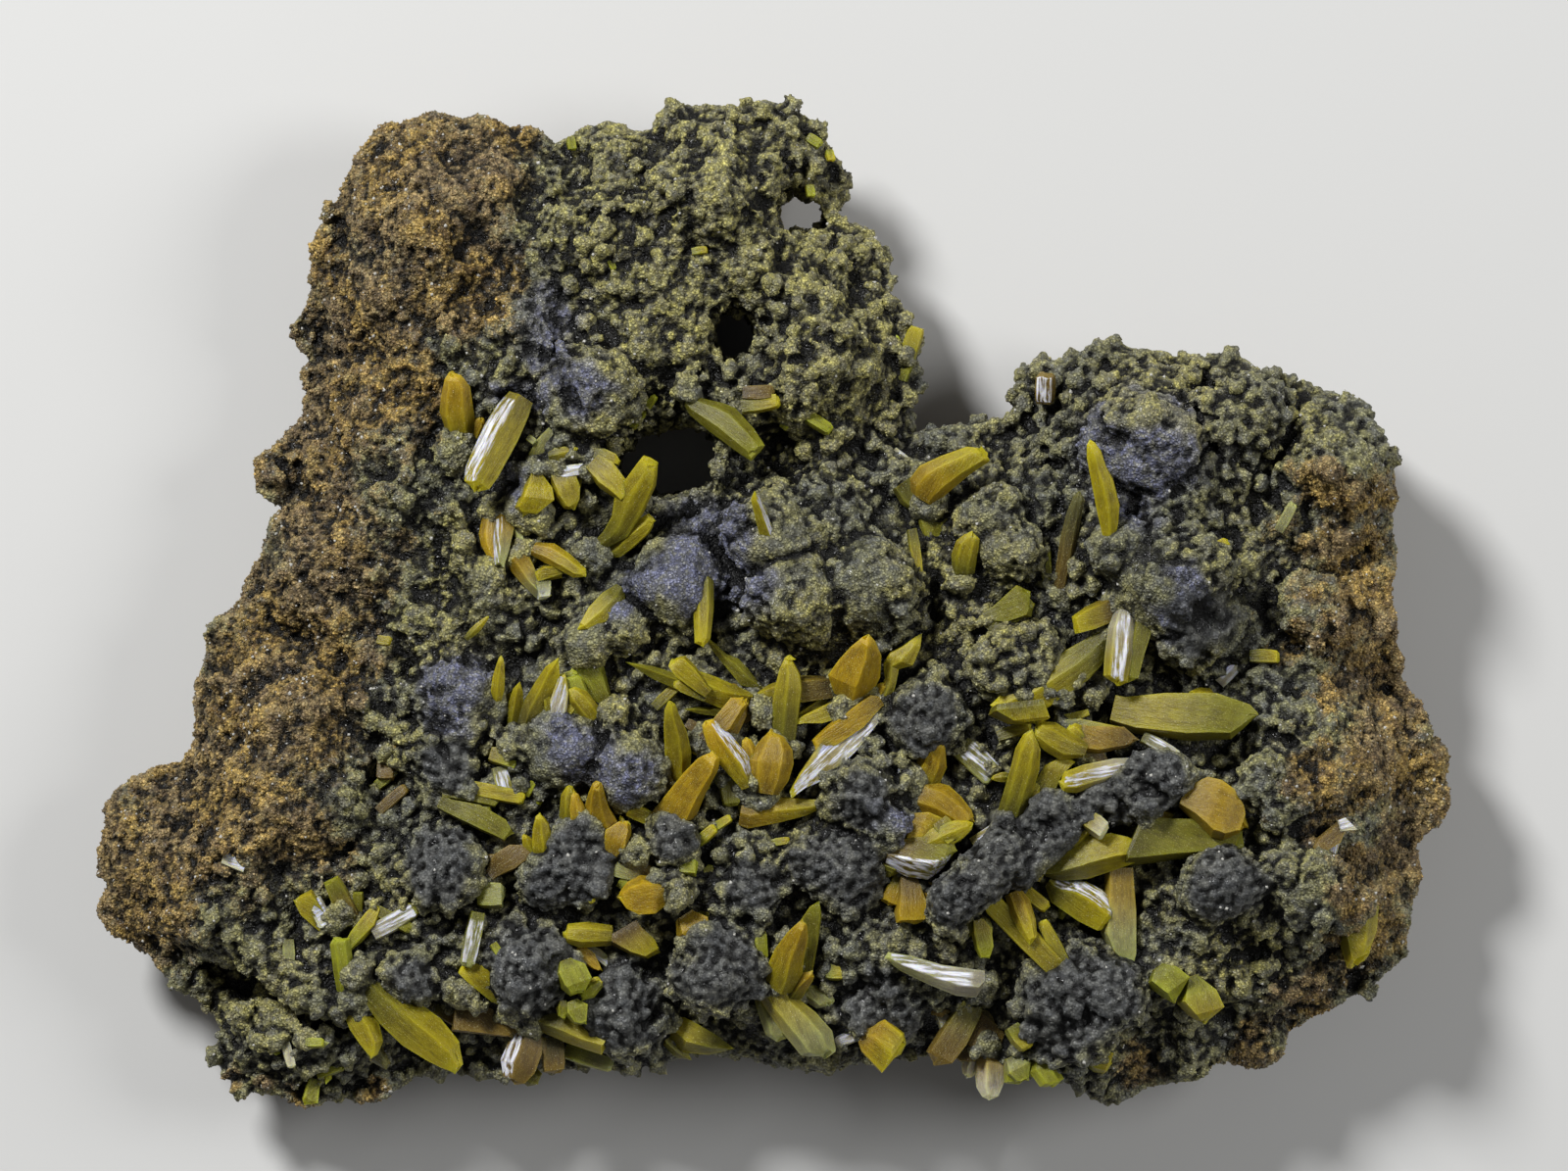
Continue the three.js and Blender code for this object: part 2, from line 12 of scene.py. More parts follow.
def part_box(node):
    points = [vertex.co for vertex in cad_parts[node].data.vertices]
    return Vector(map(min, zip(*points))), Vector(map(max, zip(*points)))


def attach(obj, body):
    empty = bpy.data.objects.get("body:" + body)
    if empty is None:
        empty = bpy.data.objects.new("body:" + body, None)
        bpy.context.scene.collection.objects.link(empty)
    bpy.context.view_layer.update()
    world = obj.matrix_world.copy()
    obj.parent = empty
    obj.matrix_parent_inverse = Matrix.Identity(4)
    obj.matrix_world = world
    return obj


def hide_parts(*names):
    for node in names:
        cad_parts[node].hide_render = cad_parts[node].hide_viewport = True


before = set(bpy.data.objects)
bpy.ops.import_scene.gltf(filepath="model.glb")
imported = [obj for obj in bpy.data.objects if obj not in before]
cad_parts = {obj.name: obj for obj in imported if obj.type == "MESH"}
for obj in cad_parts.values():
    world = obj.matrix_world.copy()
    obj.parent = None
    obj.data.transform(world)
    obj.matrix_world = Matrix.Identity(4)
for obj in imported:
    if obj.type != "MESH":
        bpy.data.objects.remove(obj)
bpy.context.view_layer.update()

# ---------------------------------------------------------------- ground
# The broken face of the limonite plate, which carries everything else. It is read from the plate's
# solid, and every crystal is laid on it before the crust grows.
MM = 0.001
PLAN_UNIT = 0.1 * MM  # plan places are read in tenths of a millimetre on a sheet with y down
PLAN_CENTRE = (785, 617)
SKY = 60 * MM
EDGE_LEVEL = 12 * MM  # taken for the ground where a place lies off the plate


def plan(x, y):
    return (x - PLAN_CENTRE[0]) * PLAN_UNIT, (PLAN_CENTRE[1] - y) * PLAN_UNIT


plate_work = bmesh.new()
plate_work.from_mesh(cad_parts["matrix"].data)
bmesh.ops.remove_doubles(plate_work, verts=plate_work.verts, dist=0.001 * MM)
ground_tree = BVHTree.FromBMesh(plate_work)


def ground(x, y):
    hit = ground_tree.ray_cast(Vector((x, y, SKY)), Vector((0, 0, -1)))[0]
    return hit.z if hit else EDGE_LEVEL


def add_mesh(name, work, material=None):
    """Makes a bmesh a piece of its own, standing at the origin."""
    mesh = bpy.data.meshes.new(name)
    work.to_mesh(mesh)
    work.free()
    piece = bpy.data.objects.new(name, mesh)
    bpy.context.scene.collection.objects.link(piece)
    if material:
        mesh.materials.append(material)
    return piece


def pour(part, whole):
    """Moves all of one bmesh into another."""
    mesh = bpy.data.meshes.new("part")
    part.to_mesh(mesh)
    part.free()
    whole.from_mesh(mesh)
    bpy.data.meshes.remove(mesh)


def smooth_step(values, low, high):
    t = np.clip((values - low) / (high - low), 0, 1)
    return t * t * (3 - 2 * t)


# ---------------------------------------------------------------- crystals
# Wulfenite, lead molybdate: waxy, frosted square prisms and spear-shaped blades, yellow to amber
# and olive, grown out of the crust and often several from one root. Each has flat faces that meet
# in edges, lengthwise ribs, and a stepped or slanting end.
FORMS = {  # sides, how far round the section is turned, how deep for its width
    "hexa": (6, 0, 0.7), "roof": (6, 30, 0.75), "prism": (4, 10, 0.75), "keel": (4, 32, 0.75),
    "lean": (4, -32, 0.75), "plate": (4, 6, 0.35), "block": (4, 14, 0.85),
}
HABITS = {  # form, and half widths at shares of the length
    "needle": ("roof", [(0, 0.6), (0.3, 1), (0.55, 0.92), (0.8, 0.6), (0.95, 0.33), (1, 0.08)]),
    "leaf": ("roof", [(0, 0.55), (0.22, 0.9), (0.42, 1), (0.72, 0.78), (0.92, 0.4), (1, 0.08)]),
    "prism": ("prism", [(0, 0.86), (0.35, 1), (0.75, 0.96), (0.93, 0.86), (1, 0.6)]),
    "plate": ("plate", [(0, 0.9), (0.45, 1), (0.9, 0.92), (1, 0.72)]),
    "block": ("block", [(0, 0.8), (0.15, 0.95), (0.5, 1), (0.88, 0.94), (1, 0.66)]),
}
TINTS = {  # colours of the mineral: amber, yellow, olive, green, brown, pale, dark and white
    "a": (0.32, 0.205, 0.004), "y": (0.29, 0.235, 0.004), "o": (0.14, 0.13, 0.006),
    "g": (0.23, 0.235, 0.010), "b": (0.125, 0.078, 0.012), "p": (0.26, 0.26, 0.10),
    "d": (0.07, 0.064, 0.018), "w": (0.48, 0.45, 0.32),
}
REFLECTION_FACES = {"t": 90, "l": 140, "r": 40}  # a face with a painted silver reflection: on top, to the left or to the right
GROUND_SAMPLES, GROUND_BLEND, SINK = 9, 0.65, 0.1
GIRTH = 1.04  # outlines are read at the visible edge, a little inside the real one
SLENDER = 1.2 * MM  # narrower crystals have fewer points round them
CORNER_WIDTH, CORNER_CUT = 0.03, 0.97
RIB_DEPTH = 0.018
TIP_STEPS = (0, 0, 0.05, 0.12)  # how far parts of the tip are broken back, in widths


def lay_axis(root, tip, depth, lean, level):
    """Where a crystal's ends lie, resting on the crust as its solid does."""
    steps = [i / (GROUND_SAMPLES - 1) for i in range(GROUND_SAMPLES)]
    across, up = tip[0] - root[0], tip[1] - root[1]
    heights = [ground(root[0] + across * t, root[1] + up * t) - lean * t for t in steps]
    mean, top = sum(heights) / len(heights), max(heights)
    low = mean + (top - mean) * GROUND_BLEND + depth * (0.5 - SINK) + level
    return Vector((*root, low)), Vector((*tip, low + lean))


def two_sides(outline):
    """From an outline seen from above, root edge first and last: the line from root to tip, its
    length, and how far its two sides stand off that line at each share of the length."""
    points = np.array([plan(x, y) for x, y in outline])
    points = points.mean(0) + (points - points.mean(0)) * GIRTH
    root = (points[0] + points[-1]) / 2
    way = points.mean(0) - root
    way /= np.hypot(*way)
    along, across = (points - root) @ way, (points - root) @ np.array([way[1], -way[0]])
    length = along.max()
    far = int(along.argmax())
    chains = []
    for part in (slice(0, far + 1), slice(far, None)):
        order = np.argsort(along[part])
        chains.append((along[part][order] / length, across[part][order]))
    chains.sort(key=lambda chain: chain[1].mean())
    return root, root + way * length, chains


def grow_one(work, rng, form, root, tip, chains, tints, pearl):
    """One crystal body from root to tip, added to a bmesh with its colour attributes and the masks of its
    painted highlight and painted reflection.
    """
    sides, turn, flatness = FORMS[form]
    length = (tip - root).length
    read = {round(float(np.clip(t, 0.02, 0.985)), 2) for chain in chains for t in chain[0]}
    shares = sorted(read | {0.3, 0.9})
    widest = max((np.interp(t, *chains[1]) - np.interp(t, *chains[0])) for t in shares)
    around = 2 * sides if widest < SLENDER else 24
    one = bmesh.new()
    bmesh.ops.create_cone(
        one, cap_ends=True, cap_tris=True, segments=around, radius1=0.5, radius2=0.5, depth=1)
    for share in shares:
        everything = one.verts[:] + one.edges[:] + one.faces[:]
        place = (0, 0, share - 0.5)
        bmesh.ops.bisect_plane(one, geom=everything, dist=1e-6, plane_co=place, plane_no=(0, 0, 1))
    unit = np.array([v.co for v in one.verts])
    along = unit[:, 2] + 0.5
    angle = np.arctan2(unit[:, 1], unit[:, 0])
    rim = np.hypot(unit[:, 0], unit[:, 1]) * 2
    # The section has flat sides with cut corners, and a rib here and there.
    step = 2 * math.pi / sides
    off = (angle - math.pi / 2 + step / 2) % step - step / 2
    reach = 1 / np.cos(off)
    reach[np.abs(off) > step / 2 - CORNER_WIDTH] *= CORNER_CUT
    ribs = np.array([rng.gauss(0, RIB_DEPTH) for _ in range(around)])
    rib_of = np.round(angle / (2 * math.pi) * around).astype(int) % around
    reach *= 1 + ribs[rib_of] * np.clip(along * 3, 0, 1)
    turned = angle + math.radians(turn + rng.uniform(-4, 4))
    px, py = np.cos(turned) * reach * rim, np.sin(turned) * reach * rim
    widest_px = np.abs(px).max()
    low, high = np.interp(along, *chains[0]), np.interp(along, *chains[1])
    middle, half = (low + high) / 2, (high - low) / 2
    x = middle + px / widest_px * half
    y = py / widest_px * flatness * np.maximum(half, 0.3 * widest * smooth_step(1 - along, 0, 0.12))
    # The end slopes down from the under side's reach, and is broken in steps.
    slope = 0.3 * np.clip(y, 0, None) + rng.uniform(0, 0.05) * widest * np.sign(x - middle)
    z = unit[:, 2] * length - slope * smooth_step(along, 0.9, 1.0)
    steps = np.array([rng.choice(TIP_STEPS) for _ in range(around // 3)])
    step_of = (angle / (2 * math.pi) * len(steps)).astype(int) % len(steps)
    z -= steps[step_of] * widest * rim * smooth_step(along, 0.93, 1.0)
    for vert, place in zip(one.verts, np.stack([x, y, z], 1)):
        vert.co = place
    # Painted highlight: the corners and the tip are marked to be painted paler, for the light that comes
    # through thin edges.
    corner = np.clip((np.abs(off) / (step / 2) - 0.7) / 0.3, 0, 1)
    edge = np.maximum(corner**2 * 0.5, smooth_step(along, 0.8, 1.0) * 0.9)
    # Painted reflection: the faces named by the marks are painted silver.
    reflection_mask = np.zeros(len(along))
    facets = [math.radians(90 + turn) + k * step for k in range(sides)]
    for mark in pearl:
        aim = math.radians(REFLECTION_FACES[mark])
        best = min(facets, key=lambda f: abs(math.remainder(f - aim, 2 * math.pi)))
        apart = np.abs((turned - best + math.pi) % (2 * math.pi) - math.pi)
        fade = smooth_step(along, 0.03, 0.15) * (1 - smooth_step(along, 0.9, 0.99))
        reflection_mask = np.maximum(reflection_mask, (apart < step / 2 + 0.02) * fade)
    first, last = np.array(TINTS[tints[0]]), np.array(TINTS[tints[-1]])
    blend = smooth_step(along, 0.1, 0.8)[:, None]
    colour = (first * (1 - blend) + last * blend) * rng.uniform(0.86, 1.14)
    # The colour darkens towards the root, to a little over half at the foot.
    colour *= (0.55 + 0.45 * smooth_step(along, 0, 0.4))[:, None]
    kinds = one.verts.layers
    layers = [kinds.float_vector.new("skin"), kinds.float_color.new("tint"),
              kinds.float.new("edge"), kinds.float.new("pearl")]
    skin = np.stack([x / MM + rng.uniform(0, 40), y / MM, z / MM], 1)
    for vert, *values in zip(one.verts, skin, np.insert(colour, 3, 1, axis=1), edge, reflection_mask):
        for layer, value in zip(layers, values):
            vert[layer] = value
    axis = (tip - root).normalized()
    across = Vector((axis.y, -axis.x, 0)).normalized()
    basis = Matrix((across, across.cross(axis), axis)).transposed().to_4x4()
    bmesh.ops.transform(one, matrix=Matrix.Translation((root + tip) / 2) @ basis, verts=one.verts)
    bmesh.ops.recalc_face_normals(one, faces=one.faces)
    for face in one.faces:
        face.smooth = True
    for line in one.edges:
        line.smooth = line.calc_face_angle(0) < 0.4
    pour(one, work)


def grow_crystal(work, member, rng, companions=0):
    """One crystal. Either: form, outline, tints, lean, level, faces with a painted reflection. Or: habit,
    root x and y, tip x and y, width, tints, lean, level, faces with a painted reflection. Level and those
    faces may be left out."""
    if isinstance(member[1], list):
        form, outline, tints, lean, level, pearl = (*member, *(0, "")[len(member) - 4:])
        start, end, chains = two_sides(outline)
    else:
        habit, rx, ry, tx, ty, width, tints, lean, level, pearl = (*member, *(0, "")[len(member) - 8:])
        form, profile = HABITS[habit]
        start, end = plan(rx, ry), plan(tx, ty)
        shares, halves = np.array(profile).T
        slant = rng.uniform(-0.25, 0.25) * np.clip(shares * 2 - 1, 0, 1)
        chains = [(shares, side * width * PLAN_UNIT / 2) for side in (slant - halves, slant + halves)]
    widest = (chains[1][1].max() - chains[0][1].min()) * 0.9
    root, tip = lay_axis(start, end, widest * FORMS[form][2], lean * MM, level * MM)
    grow_one(work, rng, form, root, tip, chains, tints, pearl)
    # A large crystal often has smaller ones beside its foot, turned a little and set lower.
    for side in (-1, 1) if widest > 1.7 * MM and companions else ():
        if rng.random() < companions:
            aside = Matrix.Rotation(math.radians(-side * rng.uniform(12, 30)), 3, "Z")
            way = aside @ (tip - root)
            across = Vector((way.y, -way.x, 0)).normalized() * side * widest * rng.uniform(0.25, 0.45)
            foot = root + across - Vector((0, 0, 0.22 * widest))
            slim = [(shares, offs * rng.uniform(0.5, 0.7)) for shares, offs in chains]
            end = foot + way * rng.uniform(0.45, 0.75)
            grow_one(work, rng, form, foot, end, slim, "o" + tints[-1], "")
    return root, tip, widest


class Wiring:
    """Adds nodes to one tree and joins them up."""

    def __init__(self, tree):
        self.nodes, self.links = tree.nodes, tree.links

    def feed(self, socket, value):
        if isinstance(value, bpy.types.NodeSocket):
            self.links.new(value, socket)
        elif hasattr(value, "__len__") and socket.type == "RGBA":
            socket.default_value = (*value, 1)
        else:
            socket.default_value = value

    def texture(self, kind, vector, scale):
        made = self.nodes.new("ShaderNodeTex" + kind)
        self.feed(made.inputs["Vector"], vector)
        self.feed(made.inputs["Scale"], scale)
        return made

    def noise(self, vector, scale, detail=2.0, roughness=0.6):
        made = self.texture("Noise", vector, scale)
        self.feed(made.inputs["Detail"], detail)
        self.feed(made.inputs["Roughness"], roughness)
        return made.outputs["Fac"]

    def cells(self, vector, scale):
        """How far each place is from the middle of its cell, and two numbers of the cell's own."""
        made = self.texture("Voronoi", vector, scale)
        own = self.nodes.new("ShaderNodeSeparateColor")
        self.feed(own.inputs["Color"], made.outputs["Color"])
        return made.outputs["Distance"], own.outputs["Red"], own.outputs["Green"]

    def ramp(self, value, *stops):
        made = self.nodes.new("ShaderNodeValToRGB")
        elements = made.color_ramp.elements
        while len(elements) < len(stops):
            elements.new(0.5)
        for element, (place, level) in zip(elements, stops):
            element.position = place
            element.color = (level, level, level, 1)
        self.feed(made.inputs["Fac"], value)
        return made.outputs["Color"]

    def mix(self, share, first, second, blend="MIX"):
        made = self.nodes.new("ShaderNodeMix")
        made.data_type, made.blend_type = "RGBA", blend
        self.feed(made.inputs[0], share)
        self.feed(made.inputs[6], first)
        self.feed(made.inputs[7], second)
        return made.outputs[2]

    def dye(self, colour, by):
        return self.mix(1.0, colour, by, "MULTIPLY")

    def attribute(self, name, output="Fac"):
        made = self.nodes.new("ShaderNodeAttribute")
        made.attribute_name = name
        return made.outputs[output]

    def math(self, operation, first, second, clamp=False):
        made = self.nodes.new("ShaderNodeMath")
        made.operation, made.use_clamp = operation, clamp
        self.feed(made.inputs[0], first)
        self.feed(made.inputs[1], second)
        return made.outputs[0]

    def times(self, first, second):
        return self.math("MULTIPLY", first, second)

    def plus(self, first, second):
        return self.math("ADD", first, second)

    def object_place(self):
        return self.nodes.new("ShaderNodeTexCoord").outputs["Object"]

    def bump(self, height, distance, strength):
        made = self.nodes.new("ShaderNodeBump")
        made.inputs["Distance"].default_value = distance
        made.inputs["Strength"].default_value = strength
        self.feed(made.inputs["Height"], height)
        return made.outputs["Normal"]


def crystal_material(name, glow):
    """Frosted and waxy. The tint comes with the crystal, and a painted highlight makes it paler at its
    corners and tip.
    """
    made = bpy.data.materials.new(name)
    made.use_nodes = True
    wire = Wiring(made.node_tree)
    shader = wire.nodes["Principled BSDF"]
    shader.inputs["Subsurface Weight"].default_value = glow
    shader.inputs["Subsurface Radius"].default_value = (1.0, 0.75, 0.15)
    shader.inputs["Subsurface Scale"].default_value = 1.3 * MM
    shader.inputs["IOR"].default_value = 1.6
    shader.inputs["Specular IOR Level"].default_value = 0.3
    skin = wire.attribute("skin", "Vector")
    tint = wire.attribute("tint", "Color")
    edge, pearl = wire.attribute("edge"), wire.attribute("pearl")
    stretch = wire.nodes.new("ShaderNodeMapping")
    stretch.inputs["Scale"].default_value = (1, 1, 0.1)
    wire.feed(stretch.inputs["Vector"], skin)
    lines = wire.noise(stretch.outputs["Vector"], 2.6, 3, 0.65)
    fine = wire.noise(stretch.outputs["Vector"], 8.0, 2, 0.6)
    speck = wire.noise(skin, 9.0, 2, 0.7)
    cloud = wire.noise(skin, 0.75, 3, 0.6)
    # Cloudy inside, with dark lines and frosted patches along the faces, and a painted highlight on the
    # edges.
    deep = wire.dye(tint, (0.42, 0.36, 0.5))
    bright = wire.dye(tint, (1.5, 1.6, 1.3))
    frost = wire.mix(0.4, bright, (0.74, 0.68, 0.28))
    colour = wire.mix(wire.ramp(cloud, (0.35, 0.0), (0.6, 1.0)), wire.mix(0.5, deep, tint), tint)
    colour = wire.mix(wire.ramp(lines, (0.34, 0.5), (0.5, 0.0)), colour, deep)
    colour = wire.dye(colour, wire.ramp(fine, (0.3, 0.86), (0.5, 1.0), (0.7, 1.16)))
    colour = wire.mix(edge, colour, bright)
    colour = wire.mix(wire.ramp(speck, (0.56, 0.0), (0.70, 0.6)), colour, frost)
    # A few white specks of a tenth of a millimetre dot the faces.
    apart, own, _ = wire.cells(skin, 3.6)
    chosen = wire.ramp(wire.plus(own, wire.times(cloud, 0.6)), (0.98, 0.0), (1.02, 1.0))
    dot = wire.times(wire.ramp(apart, (0.06, 0.6), (0.2, 0.0)), chosen)
    colour = wire.mix(dot, colour, (0.72, 0.70, 0.50))
    # A painted silver reflection lies on each marked face; it is torn lengthwise, and the crystal shows in
    # the tears.
    torn = wire.ramp(wire.plus(wire.times(lines, 0.75), wire.times(cloud, 0.25)), (0.45, 0.0), (0.52, 1.0))
    reflection_mask = wire.times(wire.ramp(pearl, (0.35, 0.0), (0.6, 1.0)), torn)
    reflection_stripes = wire.mix(wire.ramp(lines, (0.45, 0.0), (0.65, 1.0)), (0.36, 0.36, 0.38), (0.82, 0.82, 0.87))
    wire.feed(shader.inputs["Base Color"], wire.mix(reflection_mask, colour, reflection_stripes))
    dull = wire.ramp(speck, (0.35, 0.30), (0.65, 0.55))
    wire.feed(shader.inputs["Roughness"], wire.mix(reflection_mask, dull, (0.22, 0.22, 0.22)))
    relief = wire.plus(wire.plus(lines, fine), wire.times(speck, 0.5))
    wire.feed(shader.inputs["Normal"], wire.bump(relief, 0.09 * MM, 0.8))
    return made


GLOW = {"amber": 0.55, "yellow": 0.55, "olive": 0.4, "green": 0.5, "brown": 0.3, "pale": 0.45}
CRYSTAL_SKINS = {colour: crystal_material(colour + " wulfenite", glow) for colour, glow in GLOW.items()}

# How often a wide crystal has a smaller one beside its foot, by the group's first word.
CROWDED = {"fan": 0.5, "knot": 0.45, "centre": 0.6, "west": 0.55, "south": 0.4, "nest": 0.4, "corner": 0.4}
# These stand free of the crust at their foot.
BARE_FEET = {
    "east_olive_plate", "south_tablets", "south_square", "south_block", "corner_sprig", "rim_dull_stub",
    "fan_low_star", "south_cap", "knot_chunk", "south_silver_blade", "nest_tall_spindle",
    "shelf_olive_blade", "rim_blade", "east_great_spindle",
}
# Groups whose crystals stand this many millimetres above their solid, clear of the crust.
PROUD = {"south_claw": 1.8}
feet = []  # where long crystals leave the crust: root, tip and width


def crystal_group(node, colour, members):
    """The crystals grown from one root stand for that root's solid."""
    rng = random.Random(node)
    work = bmesh.new()
    bare = node in BARE_FEET
    companions = 0 if bare else CROWDED.get(node.split("_")[0], 0)
    for member in members:
        root, tip, width = grow_crystal(work, member, rng, companions)
        if not bare and (tip - root).length > 4 * MM:
            feet.append((root, tip, width))
    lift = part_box(node)[1].z + PROUD.get(node, 0) * MM - max(v.co.z for v in work.verts)
    bmesh.ops.translate(work, verts=work.verts, vec=(0, 0, lift))
    piece = add_mesh(node + "_crystals", work, CRYSTAL_SKINS[colour])
    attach(piece, "root")
    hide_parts(node)


# Upper left nest, from the amber spindle at its top to the two stubs at its foot.
NEST = [
    ("nest_amber_spindle", "amber", [
        ("hexa", [(459, 455), (456, 446), (452, 432), (448, 420), (450, 405), (454, 388), (460, 381),
            (470, 383), (479, 395), (483, 425), (483, 445), (478, 453), (470, 456)], "ya", 3.5)]),
    ("nest_tall_spindle", "yellow", [
        ("keel", [(521, 399), (507, 414), (495, 434), (483, 460), (477, 475), (475, 490), (486, 501),
            (500, 498), (508, 487), (527, 452), (538, 427), (541, 416)], "yy", 2, 0.6, "r")]),
    ("nest_middle_fan", "yellow", [
        ("plate", [(540, 480), (540, 462), (548, 448), (565, 431), (572, 434), (578, 448), (570, 456),
            (556, 474), (546, 482)], "op", 1),
        ("prism", [(562, 470), (566, 456), (578, 455), (588, 459), (588, 465), (580, 470)], "pp", 0.5),
        ("block", [(541, 483), (530, 503), (524, 517), (534, 527), (546, 526), (565, 511), (563, 499),
            (552, 484)], "yy", 0.5, 0.8),
        ("prism", [(558, 480), (566, 508), (575, 518), (585, 520), (591, 510), (592, 497), (588, 487),
            (574, 478)], "yy", 0.5, 0.4)]),
    ("nest_long_blade", "olive", [
        ("roof", [(600, 559), (617, 540), (626, 524), (629, 505), (640, 488), (655, 468), (664, 471),
            (671, 474), (668, 497), (655, 525), (642, 546), (614, 560)], "oy", 5),
        ("prism", [(600, 483), (611, 497), (634, 512), (641, 506), (640, 491), (627, 474), (611, 465)],
            "yy", 1.5, 1)]),
    ("nest_lower_pair", "yellow", [
        ("hexa", [(491, 530), (488, 545), (490, 556), (499, 572), (508, 578), (513, 570), (513, 530)], "aa",
            1),
        ("keel", [(504, 532), (503, 550), (505, 575), (514, 578), (519, 562), (524, 540), (525, 527),
            (517, 520)], "ap", 1.5, 0.6, "r"),
        ("prism", [(520, 544), (546, 545), (558, 540), (556, 533), (541, 529), (520, 530)], "oy", 0.5)]),
    ("nest_foot", "yellow", [
        ("keel", [(519, 580), (530, 593), (545, 608), (552, 614), (562, 607), (562, 598), (549, 588),
            (540, 568), (533, 560)], "ap", 0.5, 0.4),
        ("block", [(543, 594), (549, 612), (561, 609), (562, 596)], "pw", 0.4, 1.0),
        ("hexa", [(542, 566), (556, 574), (570, 581), (585, 589), (597, 588), (597, 580), (581, 565),
            (566, 555), (549, 554)], "ay", 1.5, 0.8),
        ("prism", [(575, 577), (555, 577), (546, 584), (549, 593), (575, 585)], "yy", 0.3, 1.0)]),
]
# On the shelf under the opening, across its edge, and in the notch of the right-hand side.
SHELF = [
    ("shelf_olive_blade", "olive", [
        ("roof", [(627, 598), (614, 606), (601, 620), (590, 641), (600, 642), (620, 634), (636, 619),
            (637, 604)], "oy", 2)]),
    ("shelf_prism", "yellow", [
        ("hexa", [(707, 578), (706, 600), (708, 630), (709, 655), (718, 659), (725, 650), (728, 620),
            (728, 594), (720, 578)], "oy", 1.5)]),
    ("shelf_pale_needle", "pale", [
        ("keel", [(796, 591), (783, 570), (775, 545), (767, 512), (771, 503), (778, 514), (789, 540),
            (799, 560), (796, 566), (803, 579)], "oy", 5, 0, "r")]),
    ("hollow_blade", "olive", [
        ("hexa", [(697, 410), (705, 424), (724, 440), (748, 458), (766, 470), (772, 463), (779, 454),
            (768, 437), (750, 417), (738, 412), (713, 406)], "oo", 2.5, 0.5)]),
    ("notch_lens", "amber", [
        ("hexa", [(944, 512), (931, 500), (930, 488), (940, 475), (960, 466), (985, 457), (1000, 456),
            (1010, 465), (1008, 472), (990, 484), (972, 499), (957, 512)], "ay", 2, 4),
        ("plate", [(912, 500), (920, 514), (934, 525), (941, 548), (960, 556), (975, 545), (972, 528),
            (962, 508), (935, 485)], "oo", 0, 0.4)]),
    ("notch_amber_stub", "amber", [
        ("hexa", [(972, 582), (971, 566), (976, 552), (984, 546), (992, 543), (999, 551), (997, 566),
            (994, 584), (986, 591)], "oy", 2)]),
]
# Right of the middle: the tall needle, the fan under it and the great spindle.
EAST = [
    ("east_olive_plate", "olive", [
        ("prism", [(1001, 627), (1015, 618), (1038, 597), (1050, 605), (1053, 616), (1050, 630),
            (1030, 636), (1010, 633)], "oo", 1)]),
    ("east_tall_needle", "yellow", [
        ("roof", [(1133, 608), (1131, 580), (1124, 548), (1117, 520), (1112, 495), (1107, 470), (1107, 457),
            (1110, 452), (1115, 455), (1121, 463), (1126, 478), (1133, 490), (1140, 515), (1139, 532),
            (1135, 552), (1138, 580), (1141, 608)], "yy", 6, 0.4)]),
    ("east_brown_blade", "brown", [
        ("hexa", [(1075, 605), (1078, 575), (1082, 548), (1088, 524), (1095, 507), (1101, 503), (1106, 512),
            (1101, 535), (1096, 565), (1088, 606)], "bd", 2)]),
    ("east_silver_fan", "yellow", [
        ("hexa", [(1138, 620), (1130, 640), (1126, 670), (1125, 688), (1138, 698), (1149, 694), (1156, 664),
            (1158, 622), (1148, 615)], "wy", 1, 0.9, "t"),
        ("prism", [(1156, 622), (1151, 660), (1149, 695), (1160, 691), (1166, 668), (1176, 637),
            (1170, 628)], "oo", 0.5, 0.2),
        ("prism", [(1145, 612), (1130, 609), (1108, 619), (1094, 629), (1097, 646), (1116, 641),
            (1138, 632)], "by", 1),
        ("roof", [(1124, 643), (1095, 659), (1060, 680), (1030, 700), (1012, 718), (1020, 727), (1068, 722),
            (1085, 711), (1108, 695), (1122, 680), (1128, 665)], "oy", 0.5),
        ("prism", [(1012, 716), (1008, 728), (1028, 737), (1055, 738), (1069, 733), (1064, 720)], "oy", 0.3,
            1.1)]),
    ("east_great_spindle", "olive", [
        ("prism", [(1131, 718), (1133, 738), (1160, 748), (1210, 755), (1252, 753), (1270, 738),
            (1280, 729), (1272, 719), (1240, 708), (1190, 708), (1150, 712)], "yo", 2, 0.4),
        ("block", [(1240, 708), (1236, 703), (1225, 702), (1214, 706), (1214, 722), (1240, 722)], "yy", 0.5,
            1.5),
        ("hexa", [(1252, 738), (1268, 738), (1280, 730), (1276, 722), (1258, 724)], "yy", 0.5, 1.0)]),
]
